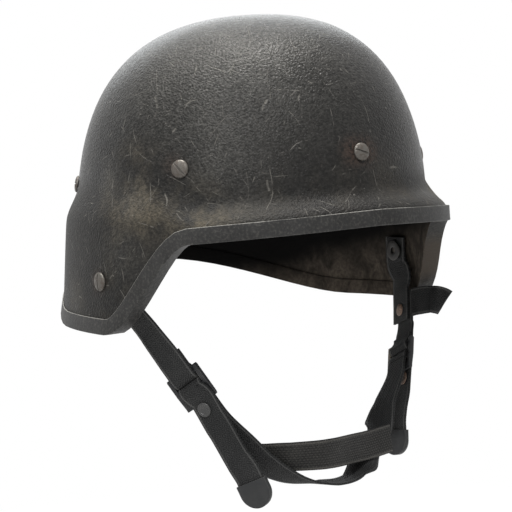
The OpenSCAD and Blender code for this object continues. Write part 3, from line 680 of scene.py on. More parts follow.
@dataclass(frozen=True)
class Webbing:
    """Woven webbing, read from the piece's own map, with firm selvedges, paler where raised and darker in
    the gaps as painted light and shade.

    Attributes:
        weave: how it is woven.
        colour, pale, gap: colours of the yarns low down and high up, and of the gaps between them: painted
            light on the raised yarns and painted shade in the gaps.
        width: width of the webbing.
        pick, rib: distance from yarn to yarn along it, and from rib to rib across it.
        zigzag: distance across it after which the slant turns back.
        rise, fall: distances from the rim between which the selvedge comes up, and drops off.
    """

    weave: Weave = Weave.TAPE
    colour: Triple = (0.0125, 0.013, 0.0135)
    pale: Triple = (0.060, 0.060, 0.059)
    gap: Triple = (0.010, 0.010, 0.010)
    width: float = 19 * MM
    pick: float = 1.9 * MM
    rib: float = 1.6 * MM
    zigzag: float = 2.4 * MM
    rise: tuple[float, float] = (1.9 * MM, 1.5 * MM)
    fall: tuple[float, float] = (0.5 * MM, 0.8 * MM)

    def yarns(self, along: Sock, across: Sock) -> Sock:
        """The yarns between the selvedges.

        Args:
            along: metres along the webbing.
            across: metres across it, from its middle.

        Returns:
            Their height from 0 to 1.
        """
        if self.weave is Weave.BAND:
            warp = (across * (FULL_TURN / (2 * self.rib))).sine()
            weft = (along * (FULL_TURN / (1.3 * self.pick)) + warp.step(-0.1, 0.1) * math.pi).sine()
            return (weft * 0.4 + 0.6) * warp.size().step(0.15, 0.7)
        slant = across.size().repeat(self.zigzag) * (FULL_TURN / self.rib)
        twill = (along * (FULL_TURN / self.pick) + slant).sine() * 0.5 + 0.5
        return twill * (across * (FULL_TURN / self.rib)).sine().step(-1.0, 0.4, 0.45, 1.0)

    def selvedge(self, across: Sock) -> Sock:
        """The firm edges.

        Args:
            across: metres across the webbing, from its middle.

        Returns:
            1 on a selvedge and 0 elsewhere.
        """
        off = across.size()
        half = self.width / 2
        inner = off.step(*(half - at for at in self.rise))
        return inner * off.step(*(half - at for at in self.fall))

    def material(self, name: str) -> Finish:
        """Builds the webbing's finish.

        Args:
            name: the material's name.

        Returns:
            The finished material.
        """
        g = Graph(name)
        along, across, _ = g.weave()
        rim = self.selvedge(across)
        edge = (along * (FULL_TURN / self.pick)).sine() * 0.25 + 0.75
        yarn = self.yarns(along, across) * (1.0 - rim) + rim * edge
        cloud = g.noise(g.point, 60, 4, 0.6)
        fuzz = g.noise(g.point, 2400, 2, 0.6)
        # paler on raised yarns and on the selvedges: painted highlight
        tone = yarn * 0.36 + rim * 0.7 + cloud.step(0.35, 0.75) * 0.25
        base = g.mix(tone * fuzz.step(0.2, 0.8, 0.55, 1.0), self.colour, self.pale)
        # darker in the gaps between yarns: painted shade
        base = g.mix(yarn.step(0.3, 0.0) * 0.5, base, self.gap)
        normal = g.bump(yarn + fuzz * 0.25, 0.35 * MM, 0.9)
        return g.finish(base, 0.72 - yarn * 0.12, normal, Specular_IOR_Level=0.12, Sheen_Weight=0.02,
                        Sheen_Roughness=0.5)


@dataclass(frozen=True)
class Moulded:
    """Moulded dark plastic with a fine spark grain, and pale edges that are rubbed wear and a painted
    highlight together.

    Attributes:
        colour, hazy: the plastic where it is darker and where it is lighter.
        worn, dust: colours of the edges painted pale as wear and highlight, and of dust.
        dusty: the dusty patches.
        rough: roughness.
    """

    colour: Triple = (0.016, 0.0165, 0.018)
    hazy: Triple = (0.04, 0.04, 0.04)
    worn: Triple = (0.11, 0.108, 0.105)
    dust: Triple = (0.14, 0.115, 0.085)
    dusty: tuple[Patch, ...] = (Patch((0.0923, -0.0140, -0.0990), 0.0125, 1.0),)
    rough: float = 0.42

    def material(self, name: str) -> Finish:
        """Builds the plastic's finish.

        Args:
            name: the material's name.

        Returns:
            The finished material.
        """
        g = Graph(name)
        p = g.point
        cloud = g.noise(p, 160, 4, 0.6)
        fine = g.noise(p, 1800, 2, 0.6)
        base = g.mix(cloud.step(0.4, 0.75) * 0.4, self.colour, self.hazy)
        settled = covered(g, p, self.dusty).step(0.1, 0.45) * fine.step(0.2, 0.6, 0.6, 1.0)
        base = g.mix(settled, base, self.dust)
        # edges painted pale: rubbed wear and a painted highlight together
        rubbed = g.edge(0.6 * MM) * (cloud + fine * 0.4).step(0.5, 0.8) * 0.7
        base = g.mix(rubbed, base, self.worn)
        normal = g.bump(fine, 0.05 * MM, 0.7)
        return g.finish(base, cloud * 0.2 + self.rough - 0.06, normal, Specular_IOR_Level=0.25)


@dataclass(frozen=True)
class Leather:
    """Dark brown leather, creased, with darker blotches and darker creases.

    Attributes:
        colour, dark: the leather where it is lighter, and where it is darker or creased.
    """

    colour: Triple = (0.050, 0.032, 0.021)
    dark: Triple = (0.018, 0.013, 0.010)

    def material(self, name: str) -> Finish:
        """Builds the leather's finish.

        Args:
            name: the material's name.

        Returns:
            The finished material.
        """
        g = Graph(name)
        p = g.point
        cloud = g.noise(p, 45, 4, 0.6)
        grain = g.cells(p, 900, smooth=True)
        stretched = g.vector("MULTIPLY", p, (90.0, 90.0, 30.0))
        crease = (g.noise(stretched, 1.0, 4, 0.6) - 0.5).size().step(0.03, 0.0)
        base = g.mix(cloud.step(0.3, 0.7), self.dark, self.colour)
        # darker in the creases
        base = g.mix(crease * 0.5, base, self.dark)
        normal = g.bump(grain * 0.7 - crease * 0.6, 0.2 * MM, 0.7)
        return g.finish(base, cloud * 0.2 + 0.42, normal, Specular_IOR_Level=0.25)


@dataclass(frozen=True)
class Braid:
    """Braided cord, whose strands cross at a slant.

    Attributes:
        colour, dark: colours of the strands and of the gaps between them, darker there as painted shade.
        strand: width of a strand.
    """

    colour: Triple = (0.10, 0.095, 0.075)
    dark: Triple = (0.02, 0.019, 0.015)
    strand: float = 1.5 * MM

    def material(self, name: str) -> Finish:
        """Builds the cord's finish.

        Args:
            name: the material's name.

        Returns:
            The finished material.
        """
        g = Graph(name)
        along, across, _ = g.weave()
        turn = math.pi / self.strand
        one = ((along + across) * turn).sine()
        two = ((along - across) * turn).sine()
        yarn = one.top(two) * 0.5 + 0.5
        # darker between the strands: painted shade
        base = g.mix(yarn * 0.7 + 0.2, self.dark, self.colour)
        return g.finish(base, 0.75, g.bump(yarn, 0.3 * MM, 0.8), Specular_IOR_Level=0.15)


# Modelling by operators


def select_only(piece: Piece) -> None:
    """Deselects everything, then selects one piece and makes it active.

    Args:
        piece: that piece.
    """
    bpy.ops.object.select_all(action="DESELECT")
    piece.select_set(True)
    bpy.context.view_layer.objects.active = piece


def edit(piece: Piece, action: Callable[[], object],
         picked: Callable[[], object] | None = None) -> None:
    """Runs one operator in edit mode.

    Args:
        piece: the mesh to edit.
        action: the operator, called with everything or what picked selects.
        picked: selects from an empty selection, or None for everything.
    """
    select_only(piece)
    bpy.ops.object.mode_set(mode="EDIT")
    bpy.ops.mesh.select_mode(type="VERT" if picked is None else "EDGE")
    bpy.ops.mesh.select_all(action="SELECT" if picked is None else "DESELECT")
    if picked is not None:
        picked()
    action()
    bpy.ops.object.mode_set(mode="OBJECT")


def modified(piece: Piece, kind: str, **settings: object) -> None:
    """Adds a modifier and applies it.

    Args:
        piece: the mesh.
        kind: the modifier's type.
        settings: its settings.
    """
    select_only(piece)
    modifier = piece.modifiers.new(kind.title(), kind)
    for key, value in settings.items():
        setattr(modifier, key, value)
    bpy.ops.object.modifier_apply(modifier=modifier.name)


def new_piece(name: str, mesh: bpy.types.Mesh) -> Piece:
    """Links a mesh into the scene.

    Args:
        name: name of the piece and its mesh.
        mesh: the mesh.

    Returns:
        The new piece.
    """
    piece = bpy.data.objects.new(name, mesh)
    bpy.context.scene.collection.objects.link(piece)
    mesh.name = name
    return piece


def copied_node(node: str, name: str) -> Piece:
    """A merged copy of a CAD node, without its split normals.

    Args:
        node: the CAD node.
        name: the copy's name.

    Returns:
        The copy.
    """
    piece = new_piece(name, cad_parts[node].data.copy())
    piece.data.materials.clear()
    select_only(piece)
    bpy.ops.mesh.customdata_custom_splitnormals_clear()
    edit(piece, lambda: bpy.ops.mesh.remove_doubles(threshold=MERGE_GAP))
    return piece


def smoothed(piece: Piece, angle: float | None = None) -> None:
    """Smooths the shading.

    Args:
        piece: the mesh.
        angle: degrees above which an edge stays sharp, or None for no sharp edge.
    """
    select_only(piece)
    if angle is None:
        bpy.ops.object.shade_smooth()
    else:
        bpy.ops.object.shade_smooth_by_angle(angle=math.radians(angle))


def quadded(piece: Piece, angle: float) -> None:
    """Joins triangles in pairs where they lie within that many degrees of each other."""
    edit(piece, lambda: bpy.ops.mesh.tris_convert_to_quads(
        face_threshold=math.radians(angle), shape_threshold=math.radians(QUAD_SHAPE)))


def faced_out(piece: Piece) -> None:
    """Turns a closed mesh's faces outwards."""
    edit(piece, lambda: bpy.ops.mesh.normals_make_consistent(inside=False))


def softened(piece: Piece, width: float, segments: int = 2, angle: float = 30.0) -> None:
    """Rounds edges and smooths the shading.

    Args:
        piece: the mesh.
        width: width of the rounding in metres.
        segments: faces across it.
        angle: degrees above which an edge is rounded.
    """
    modified(piece, "BEVEL", width=width, segments=segments, limit_method="ANGLE",
             angle_limit=math.radians(angle), use_clamp_overlap=True)
    smoothed(piece, SMOOTH_ANGLE)


def dressed(piece: Piece, body: str, material: Finish, slot: str, *nodes: str) -> None:
    """Gives a piece its material and body, and lets it stand for CAD nodes.

    Args:
        piece: the finished piece.
        body: the CAD body that it moves with.
        material: its finish.
        slot: the record's material slot; not used.
        nodes: the CAD nodes that it stands for.
    """
    if not piece.data.materials:
        piece.data.materials.append(material)
    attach(piece, body)
    if nodes:
        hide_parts(*nodes)
    LOG.info("%s: %d faces on %s", piece.name, len(piece.data.polygons), body)


def mapped(piece: Piece, where: Callable[[Vector], tuple[float, float]],
           period: tuple[float, float] = (0.0, 0.0)) -> None:
    """Gives a piece its weave map.

    Args:
        piece: the mesh.
        where: metres along and across for a vertex.
        period: length after which each of them starts again, or 0.
    """
    mesh = piece.data
    layer = mesh.uv_layers.get(WEAVE_MAP) or mesh.uv_layers.new(name=WEAVE_MAP)
    spots = [where(vertex.co) for vertex in mesh.vertices]
    for polygon in mesh.polygons:
        first = spots[polygon.vertices[0]]
        for loop, vertex in zip(polygon.loop_indices, polygon.vertices):
            layer.data[loop].uv = [
                value - span * round((value - start) / span) if span else value
                for value, start, span in zip(spots[vertex], first, period)]


# Places and routes of the webbing, in millimetres, as the CAD source gives them

POST_X, POST_DROP, POST_R = 112.627, 29.3, 3.3
WEB_W, WEB_T = 19.0, 1.4
BAR_WRAP, TOP_BAR, LOW_BAR, LEG_END, WEB_STEP, SNAP_R = 2.6, -4.4, 4.4, 5.9, 1.7, 4.6

# How the webbing is made here: its loops and rims in millimetres, its faces across and its ripples

LOOP_SLACK, LEG_START = 1.12, 6.0
WEB_COLUMNS = 8
RIPPLE, RIPPLE_LENGTH, RIPPLE_WIDTH = 0.12, 9.0, 7.0
SELVEDGE_R, SELVEDGE_ANGLE = 0.4, 55.0
BORE_SIDES = 40


def hang(share: float, fore: float, down: float) -> Vector:
    """A point given by its share of the posts' half distance, and how far before and below them."""
    return Vector((share * POST_X, -fore, -POST_DROP - down))


@dataclass
class Frame:
    """One station of a webbing: its centre, the direction along it and the one across it."""

    at: Vector
    along: Vector
    across: Vector

    def back(self) -> Frame:
        """The same station, run the other way."""
        return Frame(self.at, -self.along, self.across)


class Place:
    """Where a buckle or snap is: its centre and the directions down, out and across."""

    def __init__(self, centre: Vector, down: Triple, across: Triple, mirrored: bool = False) -> None:
        """Squares the directions up.

        Args:
            centre: centre in millimetres.
            down: direction in which the strap runs on.
            across: direction across the strap, roughly.
            mirrored: whether out points the other way, as on the wearer's left.
        """
        self.at = centre
        self.down = Vector(down).normalized()
        out = self.down.cross(Vector(across)).normalized()
        self.across = out.cross(self.down)
        self.out = -out if mirrored else out

    def spot(self, down: float, out: float, across: float = 0.0) -> Vector:
        """A point in the place's own directions."""
        return self.at + self.down * down + self.out * out + self.across * across

    def stop(self, down: float, out: float = 0.0, across: float = 0.0, up: bool = False) -> tuple:
        """A stop of a route at such a point, through which the webbing runs down, or up."""
        return self.spot(down, out, across), self.across, -self.down if up else self.down

    def wrap(self, bar: float, start: float, end: float, steps: int = 12) -> list[Frame]:
        """Stations of a loop round a bar, slack by LOOP_SLACK above and below it.

        Args:
            bar: how far down the bar is.
            start: angle of the first station in degrees, where 0 is down and 90 is out.
            end: angle of the last one.
            steps: stations after the first.

        Returns:
            The stations.
        """
        turn = 1.0 if end > start else -1.0
        made: list[Frame] = []
        for k in range(steps + 1):
            angle = math.radians(start + (end - start) * k / steps)
            cos, sin = math.cos(angle), math.sin(angle)
            at = self.spot(bar + (BAR_WRAP + LOOP_SLACK * cos ** 2) * cos, BAR_WRAP * sin)
            made.append(Frame(at, turn * (cos * self.out - sin * self.down), self.across))
        return made

    def leg(self, length: float) -> list[Frame]:
        """The strap's end, sewn back on itself inside the top bar."""
        return [Frame(self.spot(TOP_BAR - at, BAR_WRAP - WEB_STEP), -self.down, self.across)
                for at in (LEG_START, length)]


def routed(stops: Sequence[tuple], steps: int = 8) -> list[Frame]:
    """Stations on a smooth curve through stops.

    Args:
        stops: centre, direction across and, where it isn't the neighbours', direction along.
        steps: stations for each leg.

    Returns:
        The stations, both ends included.
    """
    nodes: list[Frame] = []
    for i, stop in enumerate(stops):
        before, after = stops[max(i - 1, 0)][0], stops[min(i + 1, len(stops) - 1)][0]
        aim = Vector(stop[2]) if len(stop) > 2 else (after - before).normalized()
        nodes.append(Frame(stop[0], aim, Vector(stop[1]).normalized()))
    made: list[Frame] = []
    for a, b in zip(nodes, nodes[1:]):
        span = (b.at - a.at).length
        for k in range(steps):
            s = k / steps
            cube, square = s * s * s, s * s
            at = (2 * cube - 3 * square + 1) * a.at + (cube - 2 * square + s) * span * a.along \
                + (3 * square - 2 * cube) * b.at + (cube - square) * span * b.along
            aim = (6 * square - 6 * s) * a.at + (3 * square - 4 * s + 1) * span * a.along \
                + (6 * s - 6 * square) * b.at + (3 * square - 2 * s) * span * b.along
            made.append(Frame(at, aim.normalized(), a.across.lerp(b.across, s).normalized()))
    return made + [nodes[-1]]


def backwards(stations: Iterable[Frame]) -> list[Frame]:
    """The stations run from the other end."""
    return [station.back() for station in reversed(list(stations))]


def webbing_strip(name: str, stations: Sequence[Frame]) -> Piece:
    """Weaves a strip along stations, with rounded selvedges and its weave map.

    Args:
        name: the piece's name, whose length also picks its ripples.
        stations: the stations in millimetres.

    Returns:
        The closed strip.
    """
    points: list[Vector] = []
    marks: list[tuple[float, float]] = []
    length = 0.0
    for i, station in enumerate(stations):
        face = station.along.cross(station.across).normalized()
        side = face.cross(station.along).normalized()
        length += (station.at - stations[i - 1].at).length if i else 0.0
        for k in range(WEB_COLUMNS + 1):
            out = (k / WEB_COLUMNS - 0.5) * WEB_W
            waves = Vector((length / RIPPLE_LENGTH, out / RIPPLE_WIDTH, len(name)))
            points.append((station.at + side * out + face * (RIPPLE * noise.noise(waves))) * MM)
            marks.append((length * MM, out * MM))
    row = WEB_COLUMNS + 1
    faces = [(i * row + k, i * row + k + 1, (i + 1) * row + k + 1, (i + 1) * row + k)
             for i in range(len(stations) - 1) for k in range(WEB_COLUMNS)]
    mesh = bpy.data.meshes.new(name)
    mesh.from_pydata(points, [], faces)
    layer = mesh.uv_layers.new(name=WEAVE_MAP)
    for polygon in mesh.polygons:
        for loop, vertex in zip(polygon.loop_indices, polygon.vertices):
            layer.data[loop].uv = marks[vertex]
    piece = new_piece(name, mesh)
    modified(piece, "SOLIDIFY", thickness=WEB_T * MM, offset=0.0, use_even_offset=False)
    faced_out(piece)
    softened(piece, SELVEDGE_R * MM, angle=SELVEDGE_ANGLE)
    return piece


def bored(piece: Piece, centre: Vector, axis: Vector, radius: float, depth: float = 8.0) -> None:
    """Cuts a round hole through a piece, with all sizes in millimetres.

    Args:
        piece: the mesh.
        centre: the hole's middle.
        axis: its direction.
        radius: its radius.
        depth: length of the cut, half of it on either side of the middle.
    """
    bpy.ops.object.select_all(action="DESELECT")
    bpy.ops.mesh.primitive_cylinder_add(
        vertices=BORE_SIDES, radius=radius * MM, depth=depth * MM, location=centre * MM,
        rotation=axis.to_track_quat("Z", "Y").to_euler())
    punch = bpy.context.active_object
    modified(piece, "BOOLEAN", operation="DIFFERENCE", solver="EXACT", object=punch)
    bpy.data.objects.remove(punch)


# Sub-assemblies


@dataclass
class Shell:
    """The moulded shell and the edge strip round its rim.

    Attributes:
        body: the CAD body that both move with.
        flat_angle: degrees within which two triangles of the shell make one quad.
        hole_edge: degrees above which an edge of the shell stays sharp.
        inner_limit: cosine below which a face of the strip counts as an inner one.
        square: cosine above which a point of the strip lies square off the wall.
        seated: distance off the wall up to which a point of the strip stays.
        lip_back: distance off the wall above which it is of a lip's outer side.
        lip_in, lip_out: where the lips' inner and outer sides are drawn to, off the wall.
        strip_rim, strip_angle: rounding of the strip, and degrees above which an edge has it.
    """

    body: str = "helmet"
    flat_angle: float = 25.0
    hole_edge: float = 50.0
    inner_limit: float = -0.55
    square: float = 0.86
    seated: float = 0.2 * MM
    lip_back: float = 1.0 * MM
    lip_in: float = 0.05 * MM
    lip_out: float = 0.9 * MM
    strip_rim: float = 0.5 * MM
    strip_angle: float = 40.0

    def skin(self) -> Piece:
        """Smooths a merged copy of the shell, and keeps the edges of its holes.

        Returns:
            The copy.
        """
        piece = copied_node("shell", "shell_skin")
        quadded(piece, self.flat_angle)
        edit(piece, lambda: bpy.ops.transform.edge_crease(value=1.0),
             lambda: bpy.ops.mesh.edges_select_sharp(sharpness=math.radians(self.hole_edge)))
        modified(piece, "SUBSURF", levels=2, render_levels=2)
        smoothed(piece, self.hole_edge)
        return piece

    def feather(self, strip: Piece, tree: BVHTree) -> None:
        """Draws the strip's lips in to both faces of the wall, where they stand lip_out proud.

        Args:
            strip: the edge strip.
            tree: the shell's wall.
        """
        for vertex in strip.data.vertices:
            spot, normal, _, _ = tree.find_nearest(vertex.co)
            away = vertex.co - spot
            if away.length > self.seated and away.normalized().dot(normal) > self.square:
                proud = self.lip_out if away.length > self.lip_back else self.lip_in
                vertex.co = spot + normal * proud
        faced_out(strip)

    def rubbed(self, strip: Piece, tree: BVHTree) -> None:
        """Marks the strip's outer lip, where its edge is painted pale as wear and as a highlight.

        Args:
            strip: the edge strip.
            tree: the shell's wall.
        """
        values = []
        for vertex in strip.data.vertices:
            _, normal, _, distance = tree.find_nearest(vertex.co)
            outside = normal.x * vertex.co.x + normal.y * vertex.co.y > 0.0
            values.append(1.0 if outside and distance < self.lip_out - 0.01 * MM else 0.0)
        strip.data.attributes.new(RUB_AND_HIGHLIGHT_MARK, "FLOAT", "POINT").data.foreach_set("value", values)

    def parted(self, piece: Piece, outer: Finish, inner: Finish, dome: float, limit: float) -> None:
        """Gives a piece its outer finish, and the inner one where its faces look inwards.

        Args:
            piece: the mesh.
            outer: finish of the faces that look outwards.
            inner: finish of the others.
            dome: 1 where outwards also means up above the rim, and 0 where it is level.
            limit: cosine between a face and outwards below which the face is an inner one.
        """
        piece.data.materials.append(outer)
        piece.data.materials.append(inner)
        for polygon in piece.data.polygons:
            x, y, z = polygon.center
            outwards = Vector((x, y, max(z, 0.0) * dome)).normalized()
            polygon.material_index = 1 if polygon.normal.dot(outwards) < limit else 0

    def make(self, paint: Finish, inner: Finish, rubber: Finish) -> None:
        """Builds and dresses both pieces.

        Args:
            paint: finish of the shell's outer face.
            inner: finish of the inner face, also where the strip lies on it.
            rubber: finish of the edge strip.
        """
        skin = self.skin()
        self.parted(skin, paint, inner, 1.0, 0.0)
        dressed(skin, self.body, paint, "shell_composite", "shell")
        strip = copied_node("edging", "edge_strip")
        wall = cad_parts["shell"].data
        tree = BVHTree.FromPolygons([vertex.co for vertex in wall.vertices],
                                    [tuple(face.vertices) for face in wall.polygons])
        self.feather(strip, tree)
        softened(strip, self.strip_rim, 3, self.strip_angle)
        self.rubbed(strip, tree)
        self.parted(strip, rubber, inner, 0.0, self.inner_limit)
        dressed(strip, self.body, rubber, "edging_rubber", "edging")


@dataclass(frozen=True)
class Part:
    """A rigid CAD node: its body, finish, material slot and rounding in millimetres."""

    node: str
    body: str
    finish: str
    slot: str
    rounding: float


@dataclass
class Hardware:
    """Screws, nuts, washers, studs, snaps and buckles: merged copies with softened edges."""

    parts: tuple[Part, ...] = (
        Part("cradle_screws", "helmet", "steel", "screw_steel", 0.25),
        Part("ear_screws", "helmet", "steel", "screw_steel", 0.25),
        Part("cradle_nuts", "helmet", "dark", "dark_steel", 0.2),
        Part("cradle_washers", "helmet", "dark", "dark_steel", 0.12),
        Part("ear_posts", "helmet", "dark", "dark_steel", 0.2),
        Part("ear_washers", "helmet", "dark", "dark_steel", 0.12),
        Part("sweatband_studs", "helmet", "brass", "eyelet_brass", 0.15),
        Part("strap_grommets", "chin_harness", "brass", "eyelet_brass", 0.08),
        Part("left_snap_stud", "chin_harness", "copper", "eyelet_brass", 0.15),
        Part("left_snap_socket", "chin_harness", "dark", "dark_steel", 0.15),
        Part("left_snap_cap", "left_adjuster", "copper", "eyelet_brass", 0.12),
        Part("right_snap_cap", "right_adjuster", "black", "dark_steel", 0.12),
        Part("right_buckle", "right_adjuster", "plastic", "buckle_plastic", 0.3),
        Part("left_buckle", "left_adjuster", "plastic", "buckle_plastic", 0.3),
        Part("right_tail_tip", "right_adjuster", "tip", "tip_plastic", 0.5),
        Part("left_tail_tip", "left_adjuster", "tip", "tip_plastic", 0.5),
    )

    def make(self, finishes: dict[str, Finish]) -> None:
        """Builds and dresses each part.

        Args:
            finishes: the finishes by the names that the parts give.
        """
        for part in self.parts:
            piece = copied_node(part.node, part.node + "_piece")
            softened(piece, part.rounding * MM)
            dressed(piece, part.body, finishes[part.finish], part.slot, part.node)


@dataclass
class Cradle:
    """What carries the head: the webbing ring, the crown straps, their lace and the sweatband.

    Attributes:
        body: the CAD body that all of it moves with.
        ring_z: height of the webbing ring's middle line.
        dome_r: radius that turns angles into metres along the straps and the ring.
        lace_r, lace_z, cord_r: the lace's radius and height, and its cord's radius.
        strap_turn: angle from one crown strap to the next.
        webbing_rim, webbing_angle: rounding of the webbing, and degrees above which an edge has it.
        cord_rim, cord_angle: the same for the lace.
        band_angle: degrees within which two triangles of the sweatband make one quad.
    """

    body: str = "helmet"
    ring_z: float = 36 * MM
    dome_r: float = 0.1
    lace_r: float = 26 * MM
    lace_z: float = 101 * MM
    cord_r: float = 1.8 * MM
    strap_turn: float = math.radians(60)
    webbing_rim: float = 0.35 * MM
    webbing_angle: float = 50.0
    cord_rim: float = 3 * MM
    cord_angle: float = 40.0
    band_angle: float = 40.0

    def strap_spot(self, at: Vector) -> tuple[float, float]:
        """Places a vertex of the crown straps on the strap that it belongs to.

        Args:
            at: the vertex.

        Returns:
            Metres along and across that strap.
        """
        phi = (math.floor(math.atan2(at.x, -at.y) / self.strap_turn) + 0.5) * self.strap_turn
        out = Vector((math.sin(phi), -math.cos(phi), 0.0))
        side = Vector((math.cos(phi), math.sin(phi), 0.0))
        return math.atan2(at.z, at.dot(out)) * self.dome_r, at.dot(side)

    def ring_spot(self, at: Vector) -> tuple[float, float]:
        """Metres along and across the webbing ring."""
        return math.atan2(at.x, -at.y) * self.dome_r, at.z - self.ring_z

    def lace_spot(self, at: Vector) -> tuple[float, float]:
        """Metres along and round the lace."""
        off = math.atan2(at.z - self.lace_z, math.hypot(at.x, at.y) - self.lace_r)
        return math.atan2(at.x, -at.y) * self.lace_r, off * self.cord_r

    def make(self, cotton: Finish, leather: Finish, braid: Finish) -> None:
        """Builds and dresses the liner.

        Args:
            cotton: finish of the ring and the crown straps.
            leather: finish of the sweatband.
            braid: finish of the lace.
        """
        ring = copied_node("cradle_ring", "cradle_ring_webbing")
        softened(ring, self.webbing_rim, angle=self.webbing_angle)
        mapped(ring, self.ring_spot, (FULL_TURN * self.dome_r, 0.0))
        dressed(ring, self.body, cotton, "liner_webbing", "cradle_ring")
        straps = copied_node("crown_straps", "crown_strap_webbing")
        softened(straps, self.webbing_rim, angle=self.webbing_angle)
        mapped(straps, self.strap_spot)
        dressed(straps, self.body, cotton, "liner_webbing", "crown_straps")
        lace = copied_node("crown_lace", "crown_lace_cord")
        modified(lace, "BEVEL", width=self.cord_rim, segments=4, limit_method="ANGLE",
                 angle_limit=math.radians(self.cord_angle))
        smoothed(lace)
        mapped(lace, self.lace_spot, (FULL_TURN * self.lace_r, FULL_TURN * self.cord_r))
        dressed(lace, self.body, braid, "lace_cord", "crown_lace")
        band = copied_node("sweatband", "sweatband_leather")
        quadded(band, self.band_angle)
        modified(band, "SUBSURF", levels=2, render_levels=2)
        smoothed(band)
        dressed(band, self.body, leather, "band_leather", "sweatband")


